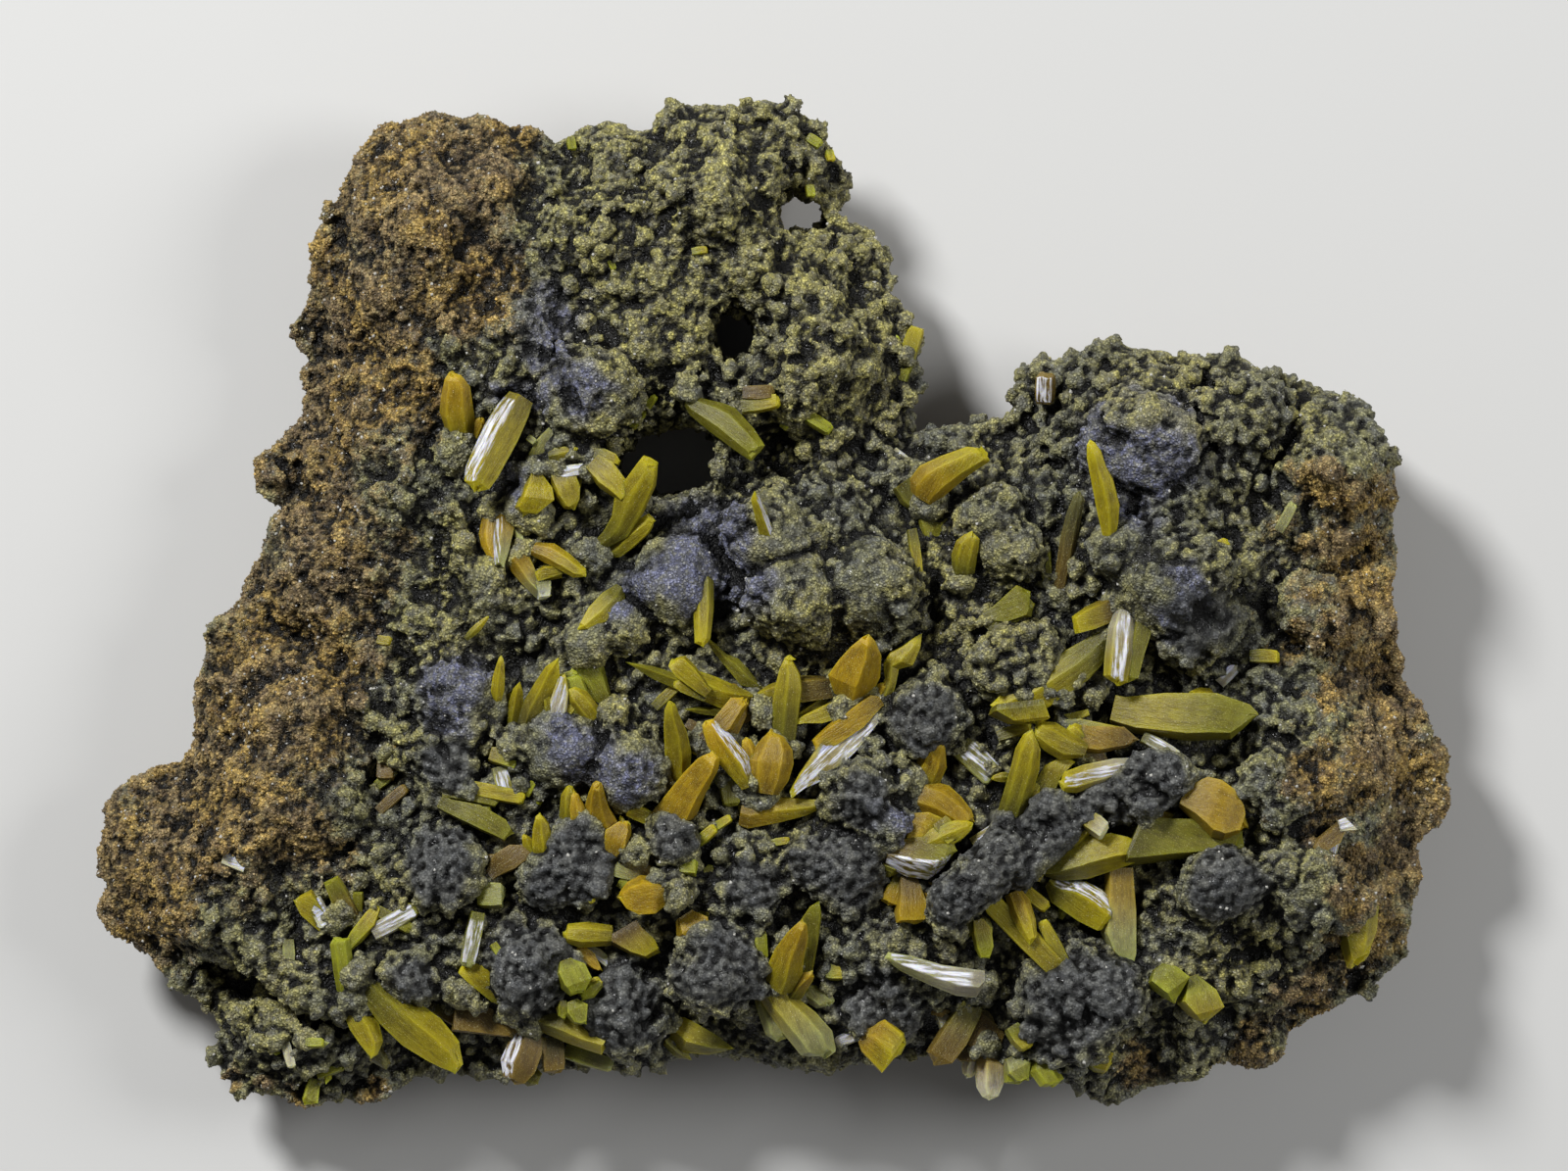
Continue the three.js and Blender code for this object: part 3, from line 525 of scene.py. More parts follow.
# The knot on the right: a cap of four prisms, the chunk on its long prism, and the fan at its foot.
KNOT = [
    ("knot_north", "yellow", [
        ("hexa", [(1018, 828), (1023, 810), (1030, 785), (1035, 764), (1043, 750), (1052, 745), (1060, 765),
            (1059, 785), (1052, 810), (1046, 830), (1036, 843)], "oy", 3.5),
        ("prism", [(1050, 814), (1058, 795), (1066, 780), (1086, 770), (1097, 776), (1084, 792),
            (1076, 810)], "oy", 1, 0.5),
        ("hexa", [(1102, 772), (1080, 774), (1065, 765), (1053, 752), (1056, 741), (1063, 736), (1076, 737),
            (1092, 747), (1108, 758)], "yy", 1, 1.6),
        ("plate", [(1082, 744), (1088, 734), (1102, 733), (1140, 741), (1138, 750), (1100, 751)], "py", 0.5,
            0.9),
        ("prism", [(1095, 752), (1098, 766), (1120, 769), (1145, 763), (1160, 755), (1146, 742),
            (1110, 741)], "ab", 0.5, 0.4),
        ("hexa", [(1158, 798), (1140, 795), (1116, 802), (1098, 808), (1085, 807), (1080, 796), (1086, 787),
            (1105, 780), (1135, 774), (1160, 773)], "wy", 1.5, 1, "t")]),
    ("knot_chunk", "amber", [
        ("block", [(1202, 822), (1218, 838), (1234, 855), (1246, 857), (1271, 844), (1267, 821),
            (1258, 805), (1246, 796), (1232, 793), (1212, 802)], "aa", 0.5, 1.8),
        ("prism", [(1146, 846), (1148, 884), (1190, 878), (1230, 873), (1266, 866), (1266, 848),
            (1215, 836), (1180, 835)], "oo", 0),
        ("keel", [(1064, 893), (1084, 898), (1110, 896), (1134, 888), (1156, 880), (1161, 866), (1157, 856),
            (1132, 850), (1105, 854), (1084, 868), (1070, 882)], "oy", 1, 1.4),
        ("lean", [(1064, 896), (1056, 904), (1074, 921), (1100, 939), (1122, 950), (1137, 936), (1137, 923),
            (1124, 908), (1108, 900), (1082, 900)], "oy", 0.5, 1.2, "l"),
        ("prism", [(1128, 893), (1127, 930), (1124, 952), (1132, 968), (1144, 981), (1159, 979),
            (1159, 930), (1155, 882)], "ap", 0)]),
    ("knot_fan", "yellow", [
        ("plate", 1082, 992, 1008, 916, 24, "yy", 0, 0),
        ("hexa", [(1026, 915), (1030, 931), (1040, 950), (1050, 963), (1057, 955), (1056, 938), (1050, 918),
            (1042, 908)], "ay", 1, 0.8),
        ("prism", [(992, 940), (991, 952), (995, 968), (1000, 977), (1009, 977), (1013, 965), (1011, 947),
            (1003, 938)], "yg", 0, 0.4)]),
]
# The middle: a tip on an orange slab, a slab streaked with a painted silver reflection and a brown stub.
CENTRE = [
    ("centre_tip", "amber", [
        ("hexa", [(920, 806), (926, 793), (931, 784), (940, 768), (950, 758), (959, 755), (963, 760),
            (965, 783), (958, 800), (946, 812)], "oa", 3),
        ("hexa", [(920, 800), (921, 812), (932, 827), (950, 832), (968, 840), (980, 845), (993, 837),
            (990, 826), (980, 813), (968, 802), (950, 797)], "aa", 1, 0.6),
        ("prism", [(924, 843), (925, 859), (938, 858), (955, 852), (976, 845), (964, 836), (948, 829),
            (932, 830)], "ay", 0.5, 1.0)]),
    ("centre_silver_slab", "olive", [
        ("keel", [(900, 864), (904, 882), (925, 893), (946, 896), (960, 886), (975, 868), (970, 856),
            (935, 854), (912, 858)], "bo", 0.5, 0, "r")]),
    ("centre_brown_stub", "brown", [
        ("prism", [(917, 895), (916, 914), (913, 930), (915, 942), (932, 942), (944, 938), (945, 920),
            (939, 904), (935, 895)], "ba", 0.5)]),
]
# The central fan, from its western rods round to the low star.
FAN = [
    ("fan_west_rod", "yellow", [
        ("keel", [(766, 707), (732, 691), (712, 684), (690, 687), (668, 680), (641, 676), (668, 693),
            (700, 707), (735, 722), (765, 714)], "yo", 1, 0, ""),
        ("prism", [(723, 713), (712, 706), (690, 690), (683, 680), (687, 672), (700, 670), (710, 680),
            (722, 698)], "yy", 0.5, 1.4)]),
    ("fan_crossed_pair", "yellow", [
        ("roof", [(787, 752), (789, 715), (792, 698), (796, 682), (801, 672), (806, 669), (808, 674),
            (812, 673), (816, 688), (818, 702), (815, 726), (812, 752)], "oy", 2, 1.2),
        ("prism", [(849, 690), (818, 690), (790, 697), (775, 704), (766, 711), (773, 720), (790, 716),
            (818, 717), (850, 712)], "by", 0.5, 0.4)]),
    ("fan_ridge", "amber", [
        ("keel", [(858, 722), (850, 700), (846, 687), (856, 673), (868, 660), (879, 651), (886, 648),
            (892, 656), (898, 670), (897, 692), (890, 706), (876, 720)], "aa", 4, 0.4),
        ("roof", [(880, 757), (886, 735), (893, 712), (903, 692), (901, 678), (908, 667), (920, 661),
            (932, 652), (940, 648), (938, 662), (931, 679), (917, 683), (914, 698), (908, 722), (896, 757)],
            "oy", 1, 0.4),
        ("prism", [(899, 712), (886, 709), (868, 721), (845, 740), (828, 756), (834, 768), (856, 758),
            (880, 742), (898, 722)], "aa", 0.6, 1.6),
        ("plate", [(892, 722), (876, 738), (858, 753), (841, 753), (828, 772), (817, 788), (806, 808),
            (809, 813), (822, 803), (836, 797), (846, 793), (860, 779), (874, 765), (884, 752), (895, 738)],
            "wy", 0.6, 2.0, "t")]),
    ("fan_spike", "yellow", [
        ("keel", [(681, 806), (679, 770), (678, 740), (679, 724), (683, 716), (689, 717), (693, 730),
            (701, 748), (705, 768), (704, 785), (697, 806)], "yy", 5, 0, "")]),
    ("fan_slab", "amber", [
        ("prism", [(666, 828), (684, 806), (700, 786), (714, 772), (726, 766), (733, 774), (731, 788),
            (718, 812), (708, 836), (696, 844)], "aa", 4)]),
    ("fan_silver_group", "amber", [
        ("keel", [(755, 802), (733, 778), (722, 760), (717, 742), (721, 736), (728, 734), (745, 749),
            (764, 772), (769, 794), (766, 802)], "ya", 1, 0.8, "r"),
        ("hexa", [(771, 807), (764, 790), (763, 774), (774, 758), (787, 745), (799, 752), (808, 766),
            (809, 779), (804, 796), (795, 809)], "aa", 0.5, 1),
        ("prism", [(711, 752), (727, 735), (746, 712), (758, 712), (762, 720), (748, 745), (728, 757)],
            "ba", 0.5, 0.7)]),
    ("fan_low_star", "yellow", [
        ("roof", [(748, 824), (752, 840), (764, 845), (795, 839), (822, 832), (839, 824), (834, 816),
            (815, 815), (795, 813), (770, 817)], "ay", 0.5),
        ("roof", [(753, 826), (755, 811), (764, 794), (769, 788), (774, 792), (772, 810), (769, 826)], "yg",
            2, 0.4)]),
]
# West of the fan: a tip and a stub, the slab with its shards, an olive slab and an ovoid.
WEST = [
    ("west_tip", "amber", [
        ("hexa", [(597, 836), (597, 824), (602, 808), (606, 799), (614, 799), (618, 812), (622, 826),
            (630, 840), (624, 852), (610, 848)], "aa", 4.5),
        ("prism", [(616, 868), (619, 846), (632, 838), (641, 838), (644, 848), (643, 864), (634, 872)],
            "aa", 0.5, 0.3)]),
    ("west_stub", "yellow", [
        ("hexa", [(574, 850), (571, 832), (573, 812), (579, 802), (585, 803), (592, 815), (597, 828),
            (594, 842), (584, 850)], "oy", 2)]),
    ("west_slab", "olive", [
        ("lean", [(526, 748), (526, 738), (534, 716), (545, 698), (556, 682), (570, 673), (571, 690),
            (566, 712), (559, 730), (552, 748), (538, 756)], "dy", 4),
        ("plate", [(563, 730), (562, 714), (570, 692), (577, 688), (581, 708), (578, 726), (570, 731)],
            "wy", 0.5, 1.5, "t")]),
    ("west_shards", "yellow", [
        ("hexa", [(618, 755), (606, 744), (592, 731), (582, 718), (580, 704), (588, 701), (600, 706),
            (612, 722), (625, 747)], "yy", 1, 0.8),
        ("plate", [(625, 728), (606, 714), (590, 699), (578, 692), (586, 679), (605, 664), (612, 668),
            (618, 690), (626, 722)], "og", 0.5, 0.4)]),
    ("west_olive_slab", "olive", [
        ("prism", [(440, 816), (447, 826), (466, 836), (488, 847), (513, 858), (523, 850), (515, 836),
            (490, 822), (462, 817)], "oo", 0.5)]),
    ("west_brown_stub", "brown", [
        ("prism", [(495, 893), (505, 872), (520, 862), (540, 863), (545, 874), (528, 887), (508, 895)],
            "bb", 0.5, 0.2)]),
    ("west_ovoid", "yellow", [
        ("roof", [(546, 877), (543, 862), (544, 846), (547, 834), (552, 830), (560, 841), (566, 857),
            (567, 864), (560, 876)], "yy", 2)]),
]
# Along the lower edge, from the great blade in the west to the rim blade in the east.
SOUTH = [
    ("south_great_blade", "amber", [
        ("lean", [(360, 1004), (370, 1022), (388, 1046), (410, 1067), (435, 1082), (462, 1095), (469, 1084),
            (466, 1062), (448, 1040), (420, 1020), (392, 1000), (372, 988)], "oy", 2, 0.6)]),
    ("south_brown_plate", "brown", [
        ("plate", [(465, 1020), (460, 1054), (490, 1057), (520, 1060), (534, 1044), (505, 1026),
            (485, 1018)], "bb", 0)]),
    ("south_brown_blade", "brown", [
        ("keel", [(528, 1046), (518, 1066), (510, 1083), (513, 1100), (524, 1108), (534, 1107), (544, 1097),
            (551, 1078), (552, 1052)], "bb", 0.5, 0.3, "r"),
        ("hexa", [(530, 1108), (536, 1113), (546, 1111), (551, 1100), (545, 1094)], "oo", 0.0, 0.0)]),
    ("south_flat_prism", "yellow", [
        ("keel", [(532, 1040), (552, 1054), (580, 1066), (613, 1077), (622, 1062), (626, 1053), (600, 1048),
            (580, 1037), (562, 1033)], "oy", 0.5, 0.3)]),
    ("south_pointed_blade", "yellow", [
        ("prism", [(528, 1034), (500, 1022), (478, 1004), (468, 994), (474, 984), (490, 980), (508, 984),
            (519, 998), (520, 1018)], "oy", 1)]),
    ("south_green_pair", "green", [
        ("block", [(571, 982), (566, 996), (572, 1008), (582, 1016), (596, 1012), (604, 998), (597, 984),
            (584, 979)], "gg", 0.5),
        ("block", [(578, 1024), (577, 1036), (585, 1044), (598, 1045), (600, 1026), (590, 1021)], "gg", 0.5,
            0.6),
        ("hexa", [(612, 1000), (600, 1004), (592, 1014), (594, 1021), (606, 1018), (614, 1008)], "gg", 0.2,
            0.9)]),
    ("south_cap", "yellow", [
        ("hexa", [(624, 945), (600, 941), (580, 943), (575, 951), (578, 962), (592, 967), (622, 965)], "yy",
            0.5, 0.8),
        ("prism", [(624, 946), (622, 964), (642, 974), (660, 978), (673, 972), (668, 960), (655, 948)],
            "by", 0.5, 0.6),
        ("plate", [(590, 968), (596, 972), (612, 984), (622, 992), (626, 982), (612, 970), (602, 966)],
            "wp", 0.5, 0.4, "t"),
        ("prism", [(578, 966), (586, 980), (604, 990), (614, 992), (606, 974), (592, 964)], "aa", 0.2,
            0.1)]),
    ("south_chunk", "amber", [
        ("block", [(681, 906), (668, 895), (655, 893), (641, 900), (631, 914), (640, 926), (652, 932),
            (668, 931), (682, 920), (688, 912)], "aa", 0.5, 0.8),
        ("plate", [(680, 894), (660, 878), (640, 869), (624, 874), (620, 884), (628, 894), (645, 898),
            (672, 904)], "bp", 0.5, 0.5)]),
    ("south_block", "amber", [
        ("block", [(690, 938), (690, 958), (700, 963), (721, 961), (724, 945), (722, 936), (708, 930)],
            "aa", 0.3, 0.8),
        ("plate", [(712, 944), (711, 914), (716, 890), (725, 880), (732, 884), (730, 914), (730, 944)],
            "oo", 0.5, 0.5)]),
    ("south_long_blade", "yellow", [
        ("keel", [(780, 1000), (784, 984), (792, 966), (804, 950), (817, 938), (823, 942), (824, 958),
            (820, 980), (818, 1000), (812, 1012)], "ya", 4, 0.4),
        ("plate", [(812, 1010), (820, 985), (824, 958), (815, 942), (826, 926), (836, 920), (838, 936),
            (834, 965), (826, 1008)], "oo", 3, 0.4)]),
    ("south_slant_blade", "yellow", [
        ("hexa", [(789, 1000), (770, 1010), (782, 1030), (796, 1050), (817, 1076), (840, 1080), (852, 1072),
            (848, 1052), (832, 1034), (812, 1018)], "yp", 0.5, 0.3)]),
    ("south_square", "amber", [
        ("roof", [(876, 1062), (880, 1074), (900, 1095), (912, 1084), (924, 1066), (922, 1055), (904, 1041),
            (892, 1046)], "ay", 0.3, 0.3)]),
    ("south_prism", "green", [
        ("keel", [(676, 1050), (686, 1066), (695, 1077), (722, 1079), (748, 1073), (728, 1058), (708, 1046),
            (693, 1039), (682, 1042)], "yo", 0.3, 0.2)]),
    ("south_silver_blade", "pale", [
        ("lean", [(1000, 990), (960, 984), (930, 975), (905, 971), (904, 978), (920, 990), (946, 1003),
            (975, 1015), (994, 1018), (1004, 1002)], "wp", 1.5, 0.2, "t")]),
    ("south_brown_rod", "brown", [
        ("prism", [(990, 1012), (972, 1035), (958, 1056), (947, 1074), (954, 1088), (972, 1086),
            (986, 1068), (1000, 1040), (1006, 1020)], "ob", 0.5)]),
    ("south_claw", "amber", [
        ("keel", [(1000, 1072), (996, 1090), (998, 1112), (1004, 1122), (1010, 1125), (1020, 1121),
            (1028, 1102), (1030, 1088), (1020, 1070)], "aw", 0.5, 0.5, ""),
        ("plate", [(985, 1060), (990, 1076), (1004, 1080), (1024, 1072), (1030, 1058), (1018, 1048),
            (1000, 1034), (990, 1042)], "bb", 0.2, 0.2),
        ("block", [(1026, 1082), (1026, 1100), (1036, 1106), (1050, 1104), (1052, 1086), (1038, 1080)],
            "pg", 0.2, 0.4),
        ("hexa", [(1056, 1084), (1052, 1096), (1062, 1110), (1074, 1111), (1086, 1102), (1078, 1088),
            (1066, 1081)], "gg", 0.2, 0.4)]),
    ("south_tablets", "green", [
        ("block", [(1176, 992), (1170, 1004), (1182, 1014), (1197, 1023), (1213, 996), (1200, 986),
            (1184, 983)], "gg", 0.2, 0.4),
        ("block", [(1212, 997), (1200, 1024), (1212, 1036), (1228, 1044), (1248, 1027), (1240, 1010),
            (1222, 996)], "gy", 0.2, 0.4)]),
    ("rim_blade", "olive", [
        ("hexa", [(1374, 942), (1367, 952), (1370, 968), (1376, 988), (1384, 988), (1398, 972), (1406, 950),
            (1408, 925), (1404, 908), (1392, 902), (1396, 925), (1388, 938)], "oy", 1, 0.3)]),
    ("rim_dull_stub", "pale", [
        ("plate", [(1362, 840), (1344, 854), (1338, 866), (1344, 872), (1366, 860), (1372, 846)], "bb", 1,
            0.2),
        ("plate", [(1370, 848), (1384, 846), (1372, 834), (1362, 838)], "ww", 0.3, 0.8, "t")]),
]
# The lower left corner: a stem with its fan, and a green sprig standing out of the hollow.
CORNER = [
    ("corner_stem", "green", [
        ("hexa", [(343, 1014), (339, 990), (336, 965), (340, 958), (356, 958), (360, 990), (362, 1018)],
            "gg", 1),
        ("plate", [(338, 945), (326, 952), (306, 934), (299, 919), (318, 909), (336, 938)], "yy", 1, 0.5),
        ("plate", [(336, 940), (326, 948), (316, 932), (316, 918), (322, 914)], "ww", 1, 0.8, "t"),
        ("prism", [(350, 965), (358, 950), (372, 932), (384, 921), (388, 930), (384, 946), (368, 962),
            (356, 972)], "gy", 0.5, 0.3),
        ("plate", [(352, 942), (340, 928), (330, 902), (344, 894), (352, 906), (364, 930)], "bo", 1, 0.2)]),
    ("corner_dark_blade", "brown", [
        ("hexa", [(354, 1044), (366, 1064), (376, 1084), (392, 1093), (396, 1086), (384, 1062),
            (370, 1040)], "dd", 0)]),
    ("corner_sprig", "green", [
        ("prism", [(328, 1104), (312, 1090), (313, 1072), (318, 1067), (324, 1072), (326, 1088)], "gg", 1,
            0.6),
        ("prism", [(313, 1100), (308, 1112), (304, 1126), (306, 1132), (320, 1130), (322, 1112)], "gg", 0,
            2),
        ("hexa", [(322, 1078), (325, 1095), (329, 1110), (335, 1104), (332, 1088), (328, 1078)], "gg", 1,
            1.0),
        ("hexa", [(309, 1062), (312, 1069), (330, 1072), (334, 1066), (318, 1061)], "gp", 0, 2.2),
        ("block", [(334, 1086), (335, 1098), (347, 1096), (346, 1086)], "gg", 0, 1.2)]),
]
for group in NEST + SHELF + EAST + KNOT + CENTRE + FAN + WEST + SOUTH + CORNER:
    crystal_group(*group)

# ---------------------------------------------------------------- small crystals
# About a hundred and ten smaller crystals of the same mineral, half a millimetre to three
# millimetres wide, stand alone in the crust or beside the large ones. Those of one colour are one
# piece.
SMALL = {
    "yellow": [
        ("needle", 475, 652, 499, 629, 9, "oy", 0.6, 0.2),
        ("prism", 549, 587, 573, 582, 15, "yy", 0.3, 0.8),
        ("prism", 930, 540, 938, 586, 12, "oy", 0.3, 0.3),
        ("prism", 1234, 566, 1250, 551, 13, "yy", 0.6, 0.4),
        ("prism", 1276, 670, 1306, 669, 15, "oy", 0.2, 0.4),
        ("needle", 1032, 793, 1011, 793, 11, "oy", 0.2, 0.6),
        ("block", 1045, 908, 1068, 928, 15, "yy", 0.4, 0.9),
        ("block", 1107, 835, 1128, 848, 22, "yw", 0.3, 1.4),
        ("block", 1088, 862, 1110, 844, 17, "oy", 0.4, 1.2),
        ("needle", 506, 719, 511, 669, 14, "yy", 1.6, 0.3),
        ("prism", 520, 731, 519, 707, 9, "yy", 0.4, 0.3), ("block", 500, 770, 530, 778, 19, "yg", 0.3, 0.4),
        ("prism", 474, 803, 535, 816, 17, "yy", 0.3, 0.6),
        ("prism", 508, 783, 517, 818, 18, "py", 0.2, 0.3, "t"),
        ("needle", 636, 868, 641, 838, 12, "yy", 0.5, 0.4),
        ("prism", 712, 860, 731, 845, 13, "gy", 0.5, 0.5),
        ("prism", 727, 846, 746, 834, 10, "gy", 0.4, 0.6),
        ("block", 702, 808, 722, 796, 20, "yg", 0.2, 0.4),
        ("prism", 684, 842, 638, 824, 18, "oy", 0.2, 0.7),
        ("prism", 594, 1020, 612, 1000, 14, "gy", 0.3, 0.5),
        ("prism", 822, 871, 829, 899, 26, "yy", 0.2, 0.6), ("prism", 786, 861, 806, 857, 9, "gy", 0.2, 0.5),
        ("block", 1032, 1048, 1048, 1072, 20, "gy", 0.2, 0.5),
        ("block", 384, 653, 398, 656, 11, "yy", 0.2, 0.2),
        ("prism", 774, 1010, 772, 968, 12, "gy", 0.5, 0.2),
        ("needle", 704, 762, 723, 772, 10, "yy", 0.3, 0.5),
        ("block", 1063, 895, 1046, 886, 13, "yy", 0.2, 0.9),
        ("prism", 1018, 752, 1052, 741, 14, "oy", 0.2, 0.5),
        ("block", 957, 838, 974, 860, 24, "yy", 0.3, 1.2), ("leaf", 942, 862, 992, 838, 26, "yy", 0.3, 1.6),
        ("block", 1204, 865, 1192, 842, 12, "oy", 0.2, 0.7),
        ("prism", 602, 870, 606, 842, 12, "yy", 0.8, 0.2),
        ("needle", 640, 858, 634, 832, 10, "yy", 0.6, 0.3),
        ("prism", 668, 722, 690, 700, 12, "oy", 0.2, 0.3),
    ],
    "green": [
        ("needle", 668, 600, 682, 630, 10, "gy", 0.3, 0.4),
        ("prism", 645, 436, 668, 403, 9, "gg", 0.8, 0.4), ("block", 818, 421, 848, 440, 15, "gg", 0.3, 0.5),
        ("block", 799, 437, 808, 424, 11, "gg", 0.2, 0.5),
        ("prism", 757, 416, 796, 410, 17, "oy", 0.4, 0.7),
        ("block", 580, 136, 582, 150, 10, "gg", 0.1, 0.1),
        ("block", 824, 137, 838, 146, 12, "gg", 0.2, 0.2),
        ("block", 846, 150, 848, 162, 10, "gy", 0.1, 0.1),
        ("block", 826, 186, 828, 199, 10, "gg", 0.1, 0.1), ("prism", 706, 257, 722, 254, 9, "gy", 0.1, 0.3),
        ("prism", 619, 262, 627, 275, 8, "gg", 0.1, 0.3),
        ("prism", 1069, 592, 1067, 556, 12, "og", 0.4, 0.2),
        ("needle", 1045, 904, 1080, 861, 13, "og", 0.5, 1.5),
        ("block", 487, 915, 515, 914, 28, "gp", 0.1, 0.3),
        ("prism", 487, 931, 476, 987, 18, "gp", 0.3, 0.3, "t"),
        ("prism", 503, 963, 517, 986, 10, "gg", 0.2, 0.3), ("prism", 537, 812, 546, 794, 9, "gg", 0.5, 0.3),
        ("needle", 549, 821, 558, 800, 8, "gy", 0.5, 0.3),
        ("prism", 575, 1076, 624, 1091, 18, "gp", 0.2, 0.2),
        ("block", 694, 884, 712, 884, 20, "gg", 0.1, 0.9),
        ("prism", 586, 896, 606, 921, 10, "gy", 0.1, 0.8),
        ("block", 843, 992, 862, 992, 20, "gy", 0.1, 0.5),
        ("block", 775, 950, 775, 979, 16, "gg", 0.2, 0.3),
        ("block", 1057, 1096, 1082, 1096, 22, "gg", 0.1, 0.3),
        ("block", 1113, 1080, 1134, 1090, 26, "gy", 0.1, 0.2),
        ("prism", 383, 803, 402, 786, 12, "gp", 0.2, 0.4),
        ("prism", 257, 1062, 283, 1078, 11, "gg", 0.2, 0.2),
        ("prism", 548, 705, 590, 688, 14, "og", 0.2, 0.4),
        ("plate", 600, 742, 584, 690, 24, "og", 0.2, 0.1),
        ("block", 320, 1101, 348, 1090, 12, "gg", 0.1, 0.4),
        ("block", 310, 1066, 329, 1066, 11, "gg", 0.1, 0.8),
        ("prism", 880, 868, 884, 838, 10, "og", 0.5, 0.6), ("prism", 632, 906, 644, 888, 9, "gg", 0.2, 0.6),
        ("needle", 1082, 938, 1092, 914, 10, "gy", 0.2, 0.7),
        ("needle", 693, 1046, 682, 1054, 12, "gy", 0.1, 0.2),
        ("needle", 620, 655, 590, 642, 9, "og", 0.2, 0.1),
        ("plate", 919, 386, 936, 332, 19, "gy", 0.6, 0.9),
        ("needle", 921, 372, 917, 340, 10, "og", 0.4, 0.8),
    ],
    "olive": [
        ("prism", 740, 781, 746, 823, 21, "oo", 0.2, 0.1),
        ("needle", 560, 466, 590, 460, 15, "oy", 0.3, 0.5),
        ("prism", 1035, 1082, 1037, 1108, 22, "og", 0.2, 0.2),
        ("plate", 1010, 645, 1050, 610, 26, "oo", 0.2, 0.1),
        ("block", 380, 928, 420, 950, 14, "oo", 0.2, 0.3),
        ("prism", 470, 838, 500, 826, 13, "oo", 0.2, 0.3),
    ],
    "brown": [
        ("block", 758, 402, 790, 402, 17, "bb", 0.2, 0.5),
        ("block", 383, 787, 402, 788, 24, "bb", 0.1, 0.2),
        ("prism", 385, 829, 413, 803, 13, "bb", 0.2, 0.2),
        ("prism", 560, 1058, 566, 1098, 26, "db", 0.2, 0.1),
        ("plate", 992, 1056, 1020, 1058, 30, "bb", 0.1, 0.2),
        ("prism", 762, 737, 742, 700, 20, "ab", 0.3, 0.3),
        ("block", 700, 738, 722, 752, 14, "bb", 0.1, 0.1),
        ("block", 1068, 410, 1068, 380, 22, "bb", 0.8, 0.8, "t"),
    ],
    "pale": [
        ("prism", 538, 446, 546, 452, 8, "pp", 0.1, 0.6),
        ("plate", 566, 484, 606, 476, 13, "ww", 0.4, 1.2, "t"),
        ("prism", 911, 461, 937, 484, 16, "wp", 0.4, 0.5, "t"),
        ("plate", 1246, 698, 1274, 668, 14, "ww", 0.6, 0.4, "t"),
        ("prism", 1305, 542, 1321, 514, 12, "pp", 0.3, 0.2),
        ("prism", 1165, 752, 1203, 772, 15, "pw", 0.2, 1.0, "t"),
        ("plate", 993, 862, 1033, 838, 18, "yw", 0.3, 1.0, "t"),
        ("plate", 916, 816, 922, 782, 10, "ww", 0.8, 0.8, "t"),
        ("plate", 980, 762, 1016, 792, 28, "op", 0.2, 0.2, "t"),
        ("plate", 876, 760, 902, 778, 14, "ww", 0.3, 0.3, "t"),
        ("plate", 853, 1066, 882, 1054, 15, "ww", 0.2, 0.3, "t"),
        ("prism", 960, 1037, 977, 1070, 15, "wp", 0.2, 0.4),
        ("plate", 380, 953, 425, 928, 19, "wo", 0.3, 0.5, "t"),
        ("prism", 288, 1066, 294, 1093, 11, "ww", 0.2, 0.2),
        ("plate", 292, 960, 294, 992, 14, "pp", 0.1, 0.2),
        ("plate", 228, 872, 254, 880, 24, "ww", 0.1, 0.1, "t"),
        ("prism", 676, 895, 686, 880, 9, "ww", 0.1, 1.0),
        ("plate", 738, 1040, 752, 1040, 6, "ww", 0.1, 0.1),
        ("prism", 1355, 880, 1362, 848, 14, "pw", 0.2, 0.2, "t"),
        ("plate", 1382, 876, 1392, 862, 9, "pp", 0.1, 0.2),
        ("plate", 640, 900, 648, 888, 6, "ww", 0.1, 0.9),
    ],
    "amber": [
        ("leaf", 730, 762, 764, 712, 24, "ba", 0.4, 0.1),
        ("block", 1196, 834, 1180, 830, 14, "ya", 0.2, 1.0),
        ("prism", 926, 912, 924, 876, 16, "ab", 0.3, 0.1),
        ("block", 1000, 880, 1012, 868, 10, "aa", 0.2, 0.6),
        ("leaf", 596, 864, 586, 806, 20, "oa", 1.2, 0.1), ("block", 398, 762, 412, 770, 10, "aa", 0.1, 0.1),
    ],
}
for colour, members in SMALL.items():
    rng = random.Random("small " + colour)
    work = bmesh.new()
    for member in members:
        grow_crystal(work, member, rng)
    small = add_mesh(f"small_{colour}_crystals", work, CRYSTAL_SKINS[colour])
    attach(small, "root")

# ---------------------------------------------------------------- plate
# The plate is broken limonite gossan, ochre to brown, grown over on its face by a dark knobbly
# crust of manganese oxide and a fine olive druse. It is one mass, made here in bands side by side.
def settled(piece):
    """The piece's mesh with its modifiers applied."""
    shape = piece.evaluated_get(bpy.context.evaluated_depsgraph_get())
    mesh = bpy.data.meshes.new_from_object(shape)
    piece.modifiers.clear()
    mesh.name = piece.name
    return mesh


def finish_with(piece, kind, **settings):
    """Adds a modifier of a kind with its settings to a piece."""
    made = piece.modifiers.new(kind.lower(), kind)
    for name, value in settings.items():
        setattr(made, name, value)


def vectors_of(things, name):
    found = np.empty(len(things) * 3, np.float32)
    things.foreach_get(name, found)
    return found.reshape(-1, 3).astype(float)


def normals_of(mesh):
    return vectors_of(mesh.vertex_normals, "vector")


def put_points(mesh, points):
    mesh.vertices.foreach_set("co", points.astype(np.float32).ravel())
    mesh.update()


def put_values(mesh, name, values):
    layer = mesh.attributes.get(name) or mesh.attributes.new(name, "FLOAT", "POINT")
    layer.data.foreach_set("value", values.astype(np.float32))


